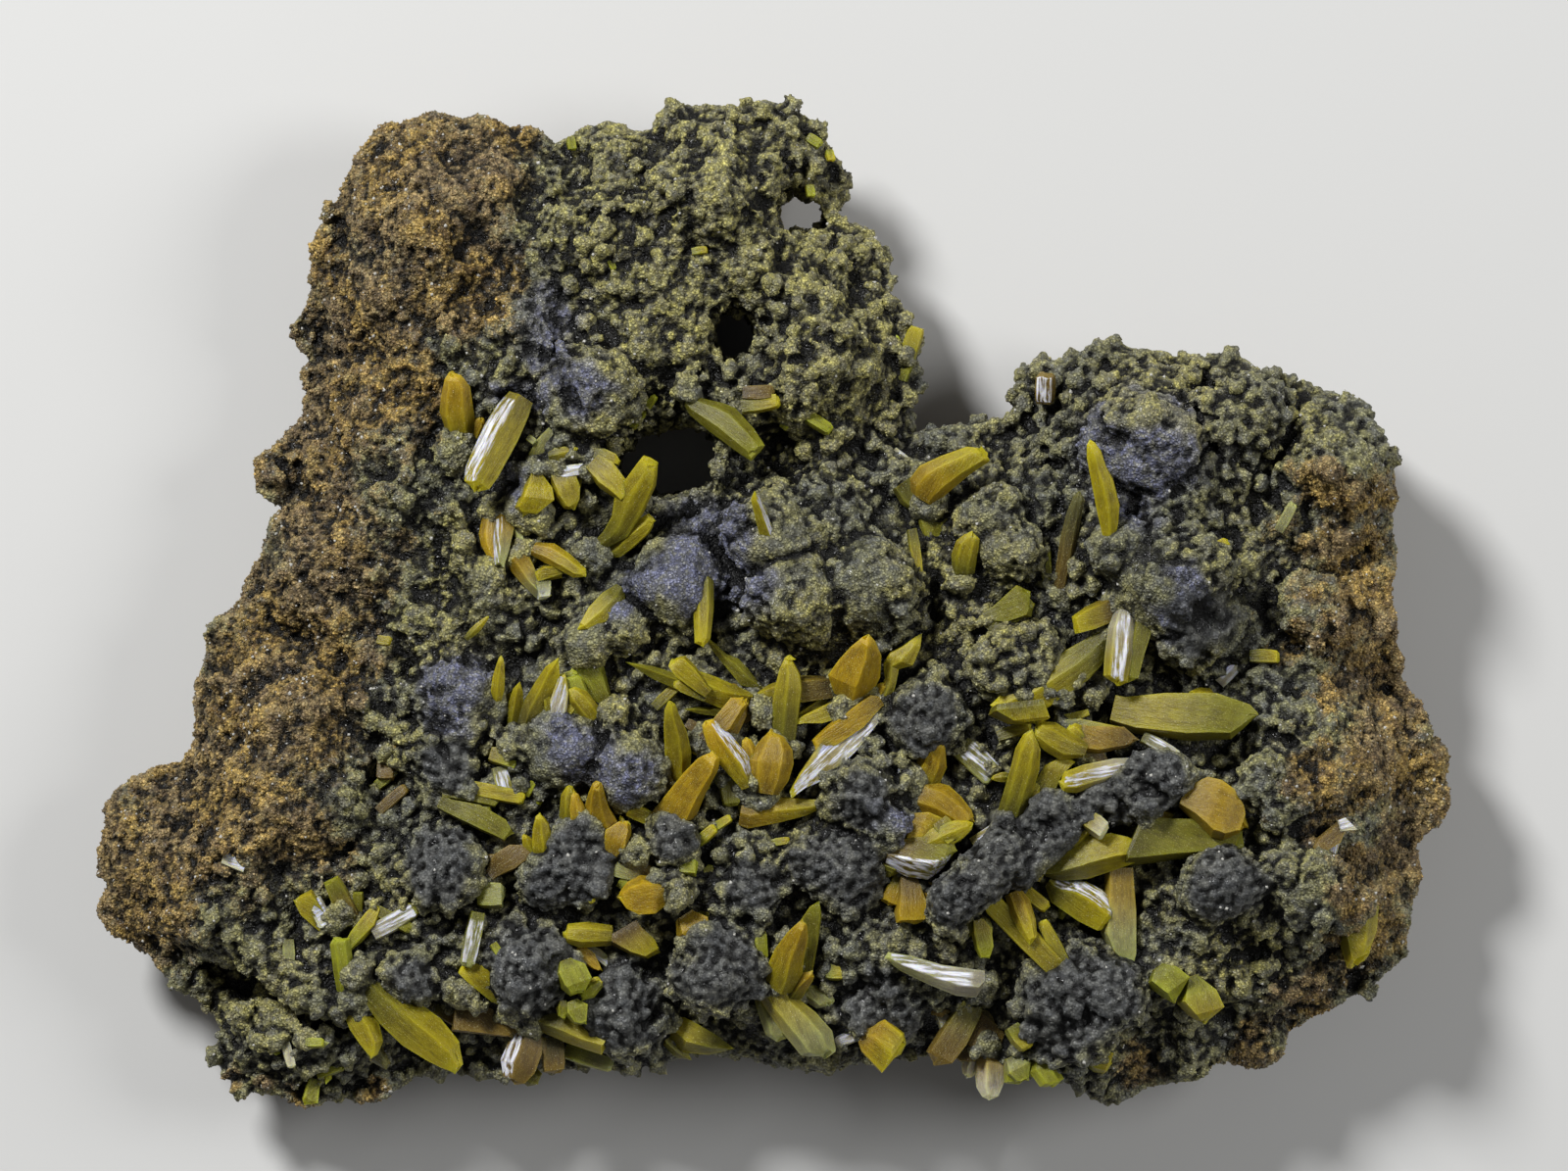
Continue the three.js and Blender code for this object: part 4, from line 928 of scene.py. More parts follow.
def scatter_of(cells, seed):
    """A repeatable number from 0 to 1 for each whole-number place, by mixing its bits."""
    mixed_up = cells[:, 0] * 374761393 + cells[:, 1] * 668265263 + cells[:, 2] * 1440662683
    value = ((mixed_up + seed * 40503) & 0xFFFFFFFF).astype(np.uint32)
    for shift, factor in ((15, 2246822519), (13, 3266489917)):
        value = (value ^ (value >> np.uint32(shift))) * np.uint32(factor)
    return (value ^ (value >> np.uint32(16))) / 4294967295.0


def waves_at(points, size, seed, octaves=4, keep=0.55):
    """Uneven waves from -1 to 1 with features about size across."""
    total, weight = np.zeros(len(points)), 0.0
    tilt = Vector((1, 0.6, 0.3)).normalized()
    for octave in range(octaves):
        turn = np.array(Matrix.Rotation(1.1 + octave + seed, 3, tilt))
        place = points @ turn.T * (2.03**octave / size) + seed * 9.7
        cell = np.floor(place).astype(np.int64)
        part = place - cell
        part = part * part * (3 - 2 * part)
        value = np.zeros(len(points))
        for corner in range(8):
            step = np.array([corner & 1, corner >> 1 & 1, corner >> 2])
            share = np.prod(np.where(step, part, 1 - part), axis=1)
            value += share * scatter_of(cell + step, seed + octave)
        total += (2 * value - 1) * keep**octave
        weight += keep**octave
    return total / weight * 1.6


def drift_at(points, size, seeds, octaves, keep=0.55):
    """A sideways push of up to 1 for each place."""
    return np.stack([waves_at(points, size, seed, octaves, keep) for seed in seeds], 1)


def knobs_at(points, size, seed, reach):
    """Rounded knobs about size across: 1 on the crown of each, 0 in the seams between them."""
    place = points / size + seed * 3.3
    base = np.floor(place).astype(np.int64)
    nearest = np.full(len(points), 9.0)
    for corner in range(27):
        cell = base + np.array([corner % 3 - 1, corner // 3 % 3 - 1, corner // 9 - 1])
        away = np.stack([cell[:, k] + scatter_of(cell, seed * 7 + k) - place[:, k] for k in range(3)])
        nearest = np.minimum(nearest, (away * away).sum(0))
    return np.sqrt(np.clip(1 - nearest / reach**2, 0, 1))


# Rounded heads of crust that stand out of it: plan x, plan y, radius.
HEADS = [
    (600, 400, 48), (1165, 450, 55), (1195, 590, 58), (1225, 632, 42), (1145, 560, 30), (578, 765, 42),
    (640, 785, 38), (470, 712, 45), (455, 785, 27), (455, 885, 38), (590, 880, 38), (545, 985, 43),
    (625, 1030, 46), (735, 985, 40), (690, 590, 45), (880, 815, 40), (865, 890, 38), (945, 730, 40),
    (1086, 1020, 46), (1130, 1010, 34), (1040, 680, 45), (900, 1030, 38), (605, 655, 25), (1270, 430, 40),
    (1360, 480, 45), (780, 545, 40), (880, 600, 50), (560, 900, 26), (810, 610, 45), (1030, 560, 30),
    (1095, 700, 28), (830, 880, 26), (770, 905, 24), (420, 1000, 28), (1010, 530, 26), (1330, 620, 30),
    (1300, 800, 34), (1250, 900, 36), (1330, 900, 36), (730, 760, 20), (540, 520, 24), (500, 600, 22),
    (640, 640, 22),
]
# Lumps that have grown over crystals: plan x, plan y, radius, rise in millimetres.
CAPS = [
    (1193, 790, 22, 2.2), (1168, 782, 17, 2.4), (1146, 798, 15, 2.4), (1168, 812, 17, 1.6),
    (1120, 812, 17, 2.0), (1142, 826, 15, 1.2), (1100, 828, 16, 1.6), (1074, 822, 18, 2.2),
    (1082, 845, 15, 1.4), (1056, 842, 13, 1.6), (1060, 862, 18, 1.4), (1022, 874, 24, 1.8),
    (1000, 892, 22, 1.8), (1040, 880, 18, 1.4), (978, 912, 20, 1.2), (968, 934, 18, 0.8),
    (905, 838, 17, 1.6), (775, 722, 9, 2.2), (777, 733, 6, 2.0), (688, 856, 22, 1.2), (1372, 925, 15, 1.2),
    (648, 870, 14, 0.8), (938, 904, 8, 1.6), (722, 962, 17, 1.2), (1012, 965, 8, 0.8),
    (1105, 1000, 14, 0.4), (1082, 990, 13, 0.6), (1110, 1048, 22, 0.2), (606, 896, 12, 0.8),
    (556, 742, 12, 0.8),
]
lumps = [(plan(x, y), size * PLAN_UNIT, 0) for x, y, size in HEADS]
lumps += [(plan(x, y), size * PLAN_UNIT, rise * MM) for x, y, size, rise in CAPS]
# The crust also closes round the feet of crystals.
for root, tip, width in feet:
    radius = min(max(0.48 * width, 0.9 * MM), 1.7 * MM, 0.25 * (root - tip).length)
    back = root + (root - tip).normalized() * 0.25 * radius
    lumps.append(((back.x, back.y), radius, 0.45 * radius))
head_rng = random.Random(4)
for at, radius, rise in lumps:
    reach = 1.3 * radius
    levels = [ground(at[0] + reach * math.cos(a), at[1] + reach * math.sin(a)) for a in range(7)]
    foot = sorted(levels)[3]
    head = bmesh.new()
    bmesh.ops.create_icosphere(head, subdivisions=3 if radius > 2 * MM else 2, radius=radius)
    bmesh.ops.rotate(head, verts=head.verts, matrix=Matrix.Rotation(head_rng.uniform(0, 6), 3, "X"))
    bmesh.ops.scale(head, verts=head.verts, vec=(1, head_rng.uniform(0.85, 1), 1.3 if rise else 0.9))
    height = max(foot + 0.2 * radius, ground(*at) - 0.7 * radius) + rise
    bmesh.ops.translate(head, verts=head.verts, vec=(*at, height))
    pour(head, plate_work)

plate = add_mesh("plate", plate_work)
finish_with(plate, "SUBSURF", subdivision_type="SIMPLE", levels=1, render_levels=1)
finish_with(plate, "SMOOTH", factor=0.5, iterations=2)
finish_with(plate, "REMESH", mode="VOXEL", voxel_size=0.6 * MM)
finish_with(plate, "SMOOTH", factor=0.6, iterations=5)
plate.data = settled(plate)

# Where each mineral and each kind of knob is, as discs of the plan: x, y, radius. Ochre is bare
# sandy gossan, olive is the druse, bloom is a bluish film, and black heads are nearly black.
OCHRE = [
    (420, 190, 120), (470, 290, 80), (375, 320, 90), (335, 430, 85), (325, 520, 90), (300, 610, 95),
    (280, 700, 110), (215, 800, 115), (150, 890, 105), (280, 850, 75), (500, 150, 60), (130, 950, 60),
    (400, 400, 45), (370, 560, 60), (350, 660, 60), (330, 130, 80), (290, 260, 70), (255, 360, 60),
    (235, 470, 60), (215, 590, 60), (170, 700, 60), (90, 840, 60), (70, 920, 60), (1400, 610, 62),
    (1415, 700, 78), (1430, 790, 75), (1435, 880, 62), (1415, 965, 55), (1350, 1030, 50), (1290, 1085, 45),
    (1372, 560, 52), (1345, 640, 40), (1395, 490, 42), (1375, 900, 34), (1180, 1095, 34), (1480, 840, 50),
    (1450, 640, 40), (1360, 480, 40), (1355, 720, 40), (1350, 820, 36), (240, 1114, 26), (300, 1126, 22),
    (365, 1114, 20),
]
OLIVE = [
    (640, 180, 110), (740, 170, 110), (830, 260, 90), (660, 260, 80), (760, 260, 70), (680, 350, 60),
    (850, 360, 80), (810, 420, 60), (560, 230, 60), (590, 320, 40), (900, 400, 45), (640, 430, 35),
    (1330, 440, 45), (1180, 400, 60), (1320, 560, 50), (430, 640, 60), (460, 560, 40), (1260, 980, 50),
    (1000, 640, 50), (250, 1000, 60), (380, 900, 40), (620, 680, 36), (1350, 760, 50), (830, 640, 60),
    (520, 560, 40), (400, 760, 40), (950, 560, 40),
]
BLOOM = [
    (605, 395, 40), (572, 330, 34), (1165, 452, 52), (690, 590, 50), (740, 560, 40), (470, 712, 42),
    (578, 760, 40), (638, 780, 34), (905, 835, 18), (540, 400, 26), (640, 600, 30), (1200, 600, 34),
    (510, 500, 22),
]
BLACK = [
    (455, 885, 40), (590, 880, 42), (545, 985, 48), (625, 1030, 48), (735, 985, 45), (1088, 1030, 54),
    (1130, 1010, 36), (1020, 872, 45), (980, 912, 32), (1180, 795, 38), (1130, 815, 34), (1070, 838, 34),
    (900, 1030, 42), (688, 856, 26), (560, 900, 28), (830, 880, 28), (865, 890, 40), (945, 730, 36),
    (1225, 632, 36), (455, 785, 24), (420, 1000, 26), (880, 812, 30), (770, 905, 24), (1250, 900, 40),
]
BEADED = [
    (850, 610, 60), (905, 560, 40), (800, 560, 40), (1165, 600, 40), (880, 380, 40), (1250, 640, 40),
]
# The holes right through the plate.
OPENINGS = [
    (683, 468, 60), (735, 480, 40), (751, 340, 30), (817, 214, 24),
]
# The worn east rim, where the dust lies thicker and paler.
WORN = [(1395, 500, 60), (1400, 600, 80), (1420, 740, 95), (1425, 890, 90)]


def discs(points, table, softness=0.45):
    cover = np.zeros(len(points))
    for x, y, radius in table:
        at = plan(x, y)
        reach = np.hypot(points[:, 0] - at[0], points[:, 1] - at[1]) / (radius * PLAN_UNIT)
        cover = np.maximum(cover, 1 - smooth_step(reach, 1 - softness, 1 + softness))
    return cover


def minerals_at(points):
    """How far each place is bare gossan, and the place itself, drifted so that borders are uneven."""
    drifted = points + drift_at(points, 9 * MM, (1, 2, 3), 4, 0.7) * 5 * MM
    return discs(drifted, OCHRE, 0.6), drifted


# The plate is uneven by itself, except where crystals are seated in it. Its rim stands out a
# little, and its openings stay open.
MOST_SWELL = 1.6
FAR = 6 * MM
points, normals = vectors_of(plate.data.vertices, "co"), normals_of(plate.data)
solids = bmesh.new()
for name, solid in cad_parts.items():
    if name != "matrix":
        placed = solid.data.copy()
        placed.transform(solid.matrix_world)
        solids.from_mesh(placed)
        bpy.data.meshes.remove(placed)
solid_tree = BVHTree.FromBMesh(solids)
solids.free()
reach = [solid_tree.find_nearest(Vector(p), FAR)[3] for p in points.tolist()]
seat = 1 - smooth_step(np.array([FAR if r is None else r for r in reach]), 0.8 * MM, 4.5 * MM)
swell = 1.5 * waves_at(points, 8.5 * MM, 51, 3) * (1 - seat) + 0.75 * waves_at(points, 4 * MM, 5, 2)
swell = np.clip(swell, -MOST_SWELL * smooth_step(normals[:, 2], 0.2, 0.8) - 0.1, MOST_SWELL)
swell *= 0.4 + 0.6 * smooth_step(points[:, 2], 1 * MM, 8 * MM)
ochre, drifted = minerals_at(points)
holes = discs(points, OPENINGS, 0.3)
outward = normals * (1, 1, 0) * ((0.6 + 0.9 * ochre) * MM)[:, None]
outward -= normals * (1, 1, 0) * (1.9 * MM * holes)[:, None]
points += normals * (swell * MM)[:, None] + outward
points[:, 2] = np.maximum(points[:, 2], 0.0)
put_points(plate.data, points)

# Knobs of the crust: balls of two sizes, sown over its face and fused with it. Few grow where a
# crystal lies on the crust, on the finely beaded domes, or in the openings through the plate.
open_face = smooth_step(normals[:, 2], -0.3, 0.25) * smooth_step(points[:, 2], 0.8 * MM, 2 * MM)
druse, black = discs(drifted, OLIVE), discs(points, BLACK, 0.2)
holes, fine_beads = discs(points, OPENINGS, 0.3), discs(points, BLOOM + BEADED, 0.2)
up = Vector((0, 0, 1))
low_points = [Vector(p) - 0.4 * MM * up for p in points.tolist()]
under = [solid_tree.ray_cast(p, up, 4 * MM)[0] is not None for p in low_points]
clear = 1 - 0.85 * np.array(under, float)
lumpy = smooth_step(waves_at(points, 6 * MM, 21, 2), -0.5, 0.2) * (1 - 0.9 * fine_beads)
crowding = open_face * (1 - 0.95 * ochre) * (1 - 0.5 * druse) * (1 - holes) * (1 - 0.6 * black) * clear
put_values(plate.data, "sown_large", crowding * lumpy)
ragged = np.maximum(black, 0.35 + 0.65 * smooth_step(waves_at(points, 5 * MM, 23, 3), -0.5, 0.15))
crowding = open_face * (1 - 0.97 * ochre) * (1 - 0.6 * druse) * (1 - 0.6 * holes) * clear
put_values(plate.data, "sown_small", crowding * (1 - 0.75 * fine_beads) * ragged)


def shelve(name, work, shelf):
    """Keeps a shape for sowing, out of the scene."""
    shape = add_mesh(name, work)
    bpy.context.scene.collection.objects.unlink(shape)
    shelf.objects.link(shape)
    return shape.data


ball_shelf = bpy.data.collections.new("knob shapes")
for index, stretch in enumerate([(1, 0.9, 0.85), (0.9, 1, 0.95)]):
    work = bmesh.new()
    bmesh.ops.create_icosphere(work, subdivisions=2, radius=0.5)
    bmesh.ops.scale(work, verts=work.verts, vec=stretch)
    ball = shelve(f"knob_shape_{index}", work, ball_shelf)
    put_values(ball, "sown_small", np.ones(len(ball.vertices)))


def sowing(name, shelf, crowding, density, low, high, seed, apart=0, with_bed=False, tone=None):
    """A Geometry Nodes tree that plants turned copies of a shelf's shapes over a bed as real mesh,
    no nearer together than apart. The attribute named by crowding thins them; one named by tone
    holds a number for each copy."""
    tree = bpy.data.node_groups.new(name, "GeometryNodeTree")
    for side in ("INPUT", "OUTPUT"):
        tree.interface.new_socket("Geometry", in_out=side, socket_type="NodeSocketGeometry")
    nodes, join_up = tree.nodes, tree.links.new
    entry, leave = nodes.new("NodeGroupInput"), nodes.new("NodeGroupOutput")
    share = nodes.new("GeometryNodeInputNamedAttribute")
    share.data_type = "FLOAT"
    share.inputs["Name"].default_value = crowding
    sow = nodes.new("GeometryNodeDistributePointsOnFaces")
    sow.inputs["Seed"].default_value = seed
    sow.distribute_method = "POISSON"
    sow.inputs["Distance Min"].default_value = apart * MM
    sow.inputs["Density Max"].default_value = density / MM**2
    join_up(entry.outputs[0], sow.inputs["Mesh"])
    join_up(share.outputs["Attribute"], sow.inputs["Density Factor"])
    sown = sow.outputs["Points"]
    if tone:
        number = nodes.new("FunctionNodeRandomValue")
        number.inputs["Seed"].default_value = seed + 1
        keep = nodes.new("GeometryNodeStoreNamedAttribute")
        keep.inputs["Name"].default_value = tone
        join_up(sown, keep.inputs["Geometry"])
        join_up(number.outputs[1], keep.inputs["Value"])
        sown = keep.outputs["Geometry"]
    shapes = nodes.new("GeometryNodeCollectionInfo")
    shapes.inputs["Collection"].default_value = shelf
    shapes.inputs["Separate Children"].default_value = True
    shapes.inputs["Reset Children"].default_value = True
    size = nodes.new("FunctionNodeRandomValue")
    size.inputs[2].default_value, size.inputs[3].default_value = low * MM, high * MM
    size.inputs["Seed"].default_value = seed + 2
    turn = nodes.new("FunctionNodeRandomValue")
    turn.data_type = "FLOAT_VECTOR"
    turn.inputs[1].default_value = (6.3, 6.3, 6.3)
    turn.inputs["Seed"].default_value = seed + 3
    plant = nodes.new("GeometryNodeInstanceOnPoints")
    plant.inputs["Pick Instance"].default_value = True
    join_up(sown, plant.inputs["Points"])
    join_up(shapes.outputs[0], plant.inputs["Instance"])
    join_up(turn.outputs[0], plant.inputs["Rotation"])
    join_up(size.outputs[1], plant.inputs["Scale"])
    real = nodes.new("GeometryNodeRealizeInstances")
    join_up(plant.outputs["Instances"], real.inputs["Geometry"])
    whole = nodes.new("GeometryNodeJoinGeometry")
    join_up(real.outputs["Geometry"], whole.inputs[0])
    if with_bed:
        join_up(entry.outputs[0], whole.inputs[0])
    join_up(whole.outputs[0], leave.inputs[0])
    return tree


knobs_large = sowing("large knobs", ball_shelf, "sown_large", 1, 1.7, 2.6, 31, apart=1.9, with_bed=True)
knobs_small = sowing("small knobs", ball_shelf, "sown_small", 6, 0.85, 1.25, 41, apart=0.82, with_bed=True)
FINE_VOXEL = 0.26 * MM
finish_with(plate, "NODES", node_group=knobs_large)
finish_with(plate, "NODES", node_group=knobs_small)
finish_with(plate, "REMESH", mode="VOXEL", voxel_size=FINE_VOXEL)
finish_with(plate, "SMOOTH", factor=0.5, iterations=1)
plate.data = settled(plate)

# Fine relief: small beads on the crust, sandy roughness and pits on the gossan.
points, normals = vectors_of(plate.data.vertices, "co"), normals_of(plate.data)
ochre, drifted = minerals_at(points)
dark = 1 - ochre
beads = knobs_at(points, 0.62 * MM, 3, 0.64) - 0.5
rough = waves_at(points, 2.4 * MM, 6, 4, 0.62)
pits = np.clip(waves_at(points, 2.2 * MM, 8, 3) - 0.25, 0, 1)
gravel = waves_at(points, 1.0 * MM, 9, 3, 0.7)
druse = discs(drifted, OLIVE) * dark
rim = discs(points, OPENINGS, 0.3) * dark
black = discs(points, BLACK, 0.2)
offset = dark * (1 - 0.6 * black) * (0.09 * beads + 0.09 * rough)
offset += druse * (0.42 * rough + 0.2 * gravel - 0.3 * pits)
sandy = 0.5 * rough + 0.24 * gravel + 0.14 * beads - 0.45 * pits
offset += rim * (0.5 * rough + 0.2 * gravel) + ochre * sandy
offset *= 0.3 + 0.7 * smooth_step(points[:, 2], 0.5 * MM, 4 * MM)
points += normals * (offset * MM)[:, None]
points[:, 2] = np.maximum(points[:, 2], 0.0)
put_points(plate.data, points)


def hollowness(mesh, rounds):
    """How far each point lies under the average of those about it, in millimetres."""
    ends = np.empty(len(mesh.edges) * 2, np.int32)
    mesh.edges.foreach_get("vertices", ends)
    first, second = ends[::2], ends[1::2]
    start = vectors_of(mesh.vertices, "co")
    count = np.bincount(ends, minlength=len(start))[:, None]
    level = start
    for _ in range(rounds):
        total = np.stack([np.bincount(first, level[second, k], len(start)) +
                          np.bincount(second, level[first, k], len(start)) for k in range(3)], 1)
        level = total / count
    return ((level - start) * normals_of(mesh)).sum(1) / MM


# How far a point lies in a hollow, near and wide, with the worn rim raised. This sets the painted shade in
# the seams, the painted highlight on the crowns, and where grains are sown.
near, wide = hollowness(plate.data, 6), hollowness(plate.data, 45)
worn = discs(points, WORN, 0.3)
crease = 0.62 + 0.24 * worn - (3.2 - 0.9 * ochre - 0.5 * druse + 0.8 * black) * near
crease -= (1.15 - 0.5 * ochre) * wide
wall = 1 - smooth_step(normals_of(plate.data)[:, 2] + 0.02 * (points[:, 2] / MM - 10), -0.5, 0.1)
shifted = points + drift_at(points, 3 * MM, (61, 62, 63), 2) * 1.2 * MM
put_values(plate.data, "ochre", ochre)
put_values(plate.data, "olive", druse)
put_values(plate.data, "bloom", discs(drifted, BLOOM, 0.3) * (1 - 0.8 * ochre))
put_values(plate.data, "wall", wall)
put_values(plate.data, "black", discs(shifted, BLACK, 0.2))
put_values(plate.data, "crease", np.clip(crease, 0, 1))

# Skin of the plate: which mineral is at a point, broken up at three scales, with painted shade in the seams
# between knobs and a painted highlight, partly dust, on their crowns. It gives a colour, a height and a
# roughness.
crust_group = bpy.data.node_groups.new("crust colour", "ShaderNodeTree")
for label, side, kind in (
    ("Tone", "INPUT", "Float"), ("Crease", "INPUT", "Float"), ("Color", "OUTPUT", "Color"),
    ("Height", "OUTPUT", "Float"), ("Roughness", "OUTPUT", "Float"),
):
    crust_group.interface.new_socket(label, in_out=side, socket_type="NodeSocket" + kind)
given, result = crust_group.nodes.new("NodeGroupInput"), crust_group.nodes.new("NodeGroupOutput")
wire = Wiring(crust_group)
place = wire.object_place()
broad = wire.noise(place, 150, 3)
patch = wire.noise(place, 800, 3, 0.7)
grit = wire.noise(place, 1500, 3, 0.8)
# The beads are cells about a third of a millimetre across, pushed out of round.
BEADS_PER_METRE = 3200
jostled = wire.nodes.new("ShaderNodeVectorMath")
jostled.operation = "MULTIPLY_ADD"
wire.feed(jostled.inputs[0], wire.texture("Noise", place, 2400).outputs["Color"])
jostled.inputs[1].default_value = (0.28 * MM, 0.28 * MM, 0.28 * MM)
wire.feed(jostled.inputs[2], place)
from_bead, shade_of_bead, gloss_of_bead = wire.cells(jostled.outputs["Vector"], BEADS_PER_METRE)


def patchy(dark_colour, light_colour, high=0.6, low=0.4):
    return wire.mix(wire.ramp(patch, (low, 0.0), (high, 1.0)), dark_colour, light_colour)


charcoal = patchy((0.105, 0.108, 0.094), (0.165, 0.162, 0.09))
olive = patchy((0.165, 0.15, 0.08), (0.33, 0.30, 0.09), 0.62, 0.38)
gossan = patchy((0.125, 0.078, 0.026), (0.365, 0.248, 0.07), 0.6, 0.38)
rust = patchy((0.10, 0.07, 0.038), (0.27, 0.195, 0.09), 0.62, 0.38)
bloom = patchy((0.085, 0.088, 0.115), (0.13, 0.138, 0.215))
black = patchy((0.036, 0.038, 0.041), (0.072, 0.074, 0.077))
dusty = wire.ramp(broad, (0.42, 0.0), (0.6, 0.6))
olive_share = wire.math("MAXIMUM", wire.attribute("olive"), dusty)
olive_share = wire.times(olive_share, wire.ramp(grit, (0.38, 0.2), (0.58, 1.0)))
colour = wire.mix(olive_share, charcoal, olive)
bloom_share = wire.times(wire.attribute("bloom"), wire.ramp(grit, (0.38, 0.35), (0.55, 1.0)))
colour = wire.mix(bloom_share, colour, bloom)
colour = wire.mix(wire.times(wire.attribute("black"), 0.9), colour, black)
rusty = wire.mix(wire.ramp(broad, (0.42, 0.0), (0.58, 1.0)), gossan, rust)
rusty_share = wire.plus(wire.times(wire.attribute("ochre"), 0.55), wire.times(grit, 0.7))
colour = wire.mix(wire.ramp(rusty_share, (0.66, 0.0), (0.9, 1.0)), colour, rusty)
colour = wire.mix(wire.attribute("wall"), colour, rust)
# Each bead has a painted highlight on its crown and painted shade in the gaps between beads, and a tone of
# its own, whose brightest few are painted glints.
colour = wire.dye(colour, wire.ramp(from_bead, (0.05, 1.22), (0.3, 1.0), (0.48, 0.8), (0.66, 0.55)))
tone_and_glint = wire.plus(wire.times(shade_of_bead, 0.5), wire.times(given.outputs["Tone"], 0.5))
colour = wire.dye(colour, wire.ramp(tone_and_glint, (0.2, 0.7), (0.5, 0.95), (0.75, 1.25), (0.9, 1.8)))
# Painted shade deep in the creases, and a painted highlight on the crowns.
crease_shade_and_highlight = wire.ramp(given.outputs["Crease"], (0.15, 0.015), (0.42, 0.23), (0.64, 0.9), (0.95, 1.65))
wire.feed(result.inputs["Color"], wire.dye(colour, crease_shade_and_highlight))
round_bead = wire.math("SUBTRACT", 1.0, wire.times(wire.math("POWER", from_bead, 2.0), 2.6), True)
# The black heads are smooth balls, with hardly any beads on them.
plain = wire.math("SUBTRACT", 1.0, wire.times(wire.attribute("black"), 0.75))
height = wire.times(wire.math("POWER", round_bead, 0.5), plain)
wire.feed(result.inputs["Height"], wire.plus(height, wire.times(grit, 0.6)))
wire.feed(result.inputs["Roughness"], wire.ramp(gloss_of_bead, (0.1, 0.75), (0.8, 0.42), (0.95, 0.22)))


def crust_material(name, bump, tone=None):
    """The crust's skin. With a tone attribute it is for grains, one in thirty of them painted pale as a
    glint of a flake that catches the light."""
    made = bpy.data.materials.new(name)
    made.use_nodes = True
    wire = Wiring(made.node_tree)
    shader = wire.nodes["Principled BSDF"]
    shader.inputs["Specular IOR Level"].default_value = 0.32
    group = wire.nodes.new("ShaderNodeGroup")
    group.node_tree = crust_group
    tone_and_glint = wire.attribute(tone) if tone else wire.noise(wire.object_place(), 1300, 2)
    wire.feed(group.inputs["Tone"], tone_and_glint)
    wire.feed(group.inputs["Crease"], wire.attribute("crease"))
    colour = group.outputs["Color"]
    if tone:
        # Painted glint: the grains with the highest tone are painted pale.
        colour = wire.mix(wire.ramp(tone_and_glint, (0.966, 0.0), (0.97, 1.0)), colour, (0.5, 0.49, 0.45))
    wire.feed(shader.inputs["Base Color"], colour)
    wire.feed(shader.inputs["Roughness"], group.outputs["Roughness"])
    wire.feed(shader.inputs["Normal"], wire.bump(group.outputs["Height"], bump, 0.9))
    return made


def wear(mesh, skin):
    """Gives a mesh one skin and smooth shading."""
    mesh.materials.clear()
    mesh.materials.append(skin)
    mesh.polygons.foreach_set("use_smooth", [True] * len(mesh.polygons))


crust_skin = crust_material("crust", 0.2 * MM)
grain_skin = crust_material("crust grain", 0.1 * MM, "grain_tone")

# The plate's bands meet along uneven lines, and their points are shared, so no joint shows. Each
# is named with its eastern edge.
BANDS = [("plate_west", 320), ("plate_near_west", 450), ("plate_west_middle", 588), ("plate_middle", 720),
         ("plate_east_middle", 858), ("plate_saddle", 1030), ("plate_near_east", 1180), ("plate_east", 1310),
         ("plate_east_rim", 1700)]
wear(plate.data, crust_skin)
sides = vectors_of(plate.data.polygons, "center")
across = sides[:, 0] + 2 * MM * waves_at(sides * (0, 1, 0), 6 * MM, 77, 2)
band_of = np.searchsorted([plan(x, 0)[0] for _, x in BANDS], across).tolist()
bands = []
for index, (name, _) in enumerate(BANDS):
    work = bmesh.new()
    work.from_mesh(plate.data)
    others = [face for face, own in zip(work.faces, band_of) if own != index]
    bmesh.ops.delete(work, geom=others, context="FACES")
    band = add_mesh(name, work)
    wear(band.data, crust_skin)
    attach(band, "root")
    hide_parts("matrix")
    bands.append(band)
bpy.data.objects.remove(plate)

# ---------------------------------------------------------------- grains
# Sand grains of limonite on the bare gossan and fine druse on the dark crust, each a few tenths
# of a millimetre across and grown fast to what is under it.
grain_shelf = bpy.data.collections.new("grain shapes")
for index, (sides, stretch) in enumerate([(4, (1, 0.8, 0.7)), (5, (0.8, 0.7, 1)), (4, (0.9, 0.9, 1.1))]):
    work = bmesh.new()
    bmesh.ops.create_cone(work, cap_ends=False, segments=sides, radius1=0.5, radius2=0, depth=0.5)
    bmesh.ops.translate(work, verts=work.verts, vec=(0, 0, 0.25))
    everything = work.verts[:] + work.edges[:] + work.faces[:]
    bmesh.ops.mirror(work, geom=everything, axis="Z", merge_dist=0.001)
    bmesh.ops.remove_doubles(work, verts=work.verts, dist=0.001)
    bmesh.ops.recalc_face_normals(work, faces=work.faces)
    bmesh.ops.scale(work, verts=work.verts, vec=stretch)
    shelve(f"grain_shape_{index}", work, grain_shelf)


def values_of(mesh, name):
    found = np.empty(len(mesh.vertices), np.float32)
    mesh.attributes[name].data.foreach_get("value", found)
    return found


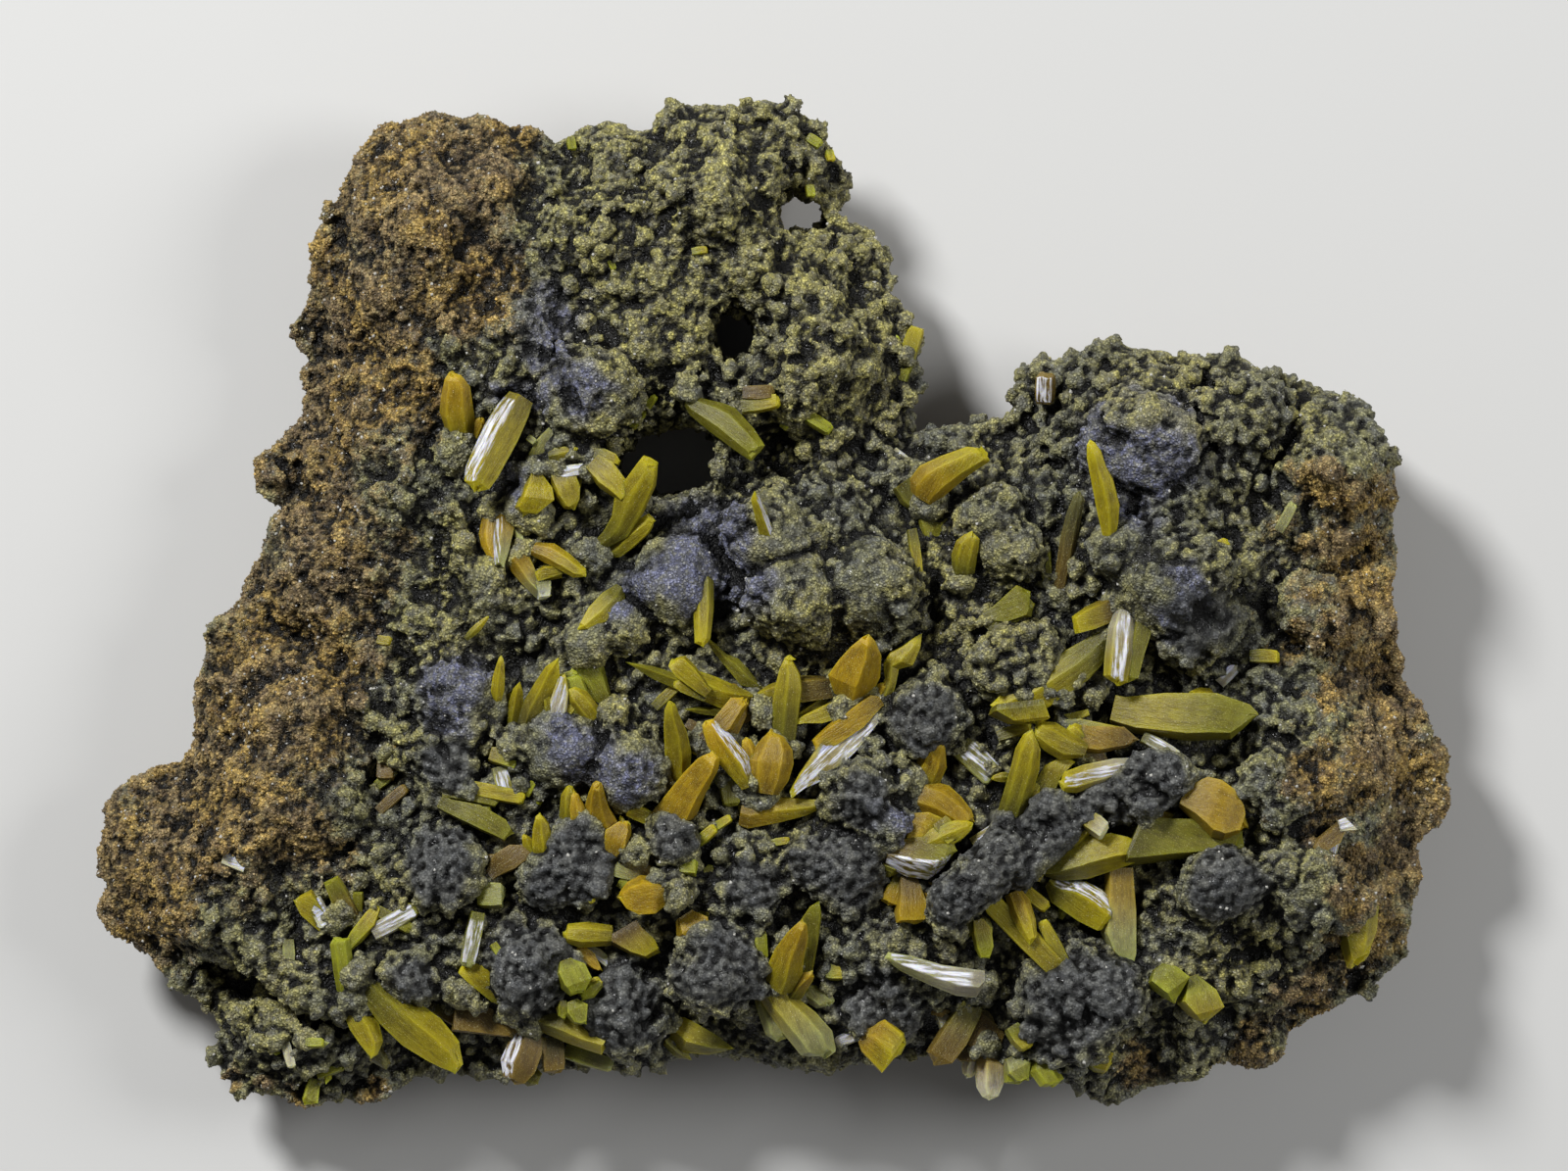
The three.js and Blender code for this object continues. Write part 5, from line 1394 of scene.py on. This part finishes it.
for index, band in enumerate(bands):
    facing = smooth_step(normals_of(band.data)[:, 2], -0.4, 0.1)
    ochre, crease = values_of(band.data, "ochre"), values_of(band.data, "crease")
    put_values(band.data, "sown", facing * (0.2 + 0.8 * ochre) * smooth_step(crease, 0.2, 0.5))
    grains = bpy.data.objects.new(band.name.replace("plate", "grains"), band.data)
    bpy.context.scene.collection.objects.link(grains)
    scatter = sowing("grains", grain_shelf, "sown", 4.5, 0.22, 0.6, 11 + 5 * index, tone="grain_tone")
    finish_with(grains, "NODES", node_group=scatter)
    grains.data = settled(grains)
    wear(grains.data, grain_skin)
    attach(grains, "root")
    band.data.attributes.remove(band.data.attributes["sown"])

# ---------------------------------------------------------------- studio
# A pale matt floor, a soft light from the north-west and a weaker, wider one from the east.
# The camera looks straight down on the middle of the plan.
floor_work = bmesh.new()
bmesh.ops.create_grid(floor_work, x_segments=1, y_segments=1, size=2.0)
floor_skin = bpy.data.materials.new("pale floor")
floor_skin.use_nodes = True
floor_shader = floor_skin.node_tree.nodes["Principled BSDF"]
floor_shader.inputs["Base Color"].default_value = (0.6, 0.6, 0.59, 1)
floor_shader.inputs["Roughness"].default_value = 0.9
floor = add_mesh("floor", floor_work, floor_skin)


def soft_light(name, place, size, power):
    made = bpy.data.lights.new(name, "AREA")
    made.shape, made.size, made.energy = "DISK", size, power
    lamp = bpy.data.objects.new(name, made)
    bpy.context.scene.collection.objects.link(lamp)
    lamp.location = place
    lamp.rotation_euler = (-Vector(place)).to_track_quat("-Z", "Y").to_euler()


soft_light("key", (-0.4, 0.5, 0.6), 0.2, 9.0)
soft_light("fill", (0.6, 0.1, 0.5), 0.35, 2.5)
world = bpy.data.worlds.new("studio")
world.use_nodes = True
world.node_tree.nodes["Background"].inputs["Color"].default_value = (1, 1, 1, 1)
world.node_tree.nodes["Background"].inputs["Strength"].default_value = 0.12
bpy.context.scene.world = world
bpy.context.scene.view_settings.view_transform = "Standard"

CRUST_LEVEL = 20 * MM
FRAME_WIDTH = 160 * MM
FRAME_CENTRE = (800, 597.5)
lens = bpy.data.cameras.new("camera")
lens.sensor_width, lens.lens = 36, 200
lens.clip_start, lens.clip_end = 0.05, 10
camera = bpy.data.objects.new("camera", lens)
bpy.context.scene.collection.objects.link(camera)
camera.location = (*plan(*FRAME_CENTRE), CRUST_LEVEL + FRAME_WIDTH * lens.lens / lens.sensor_width)
bpy.context.scene.camera = camera

bpy.context.view_layer.update()
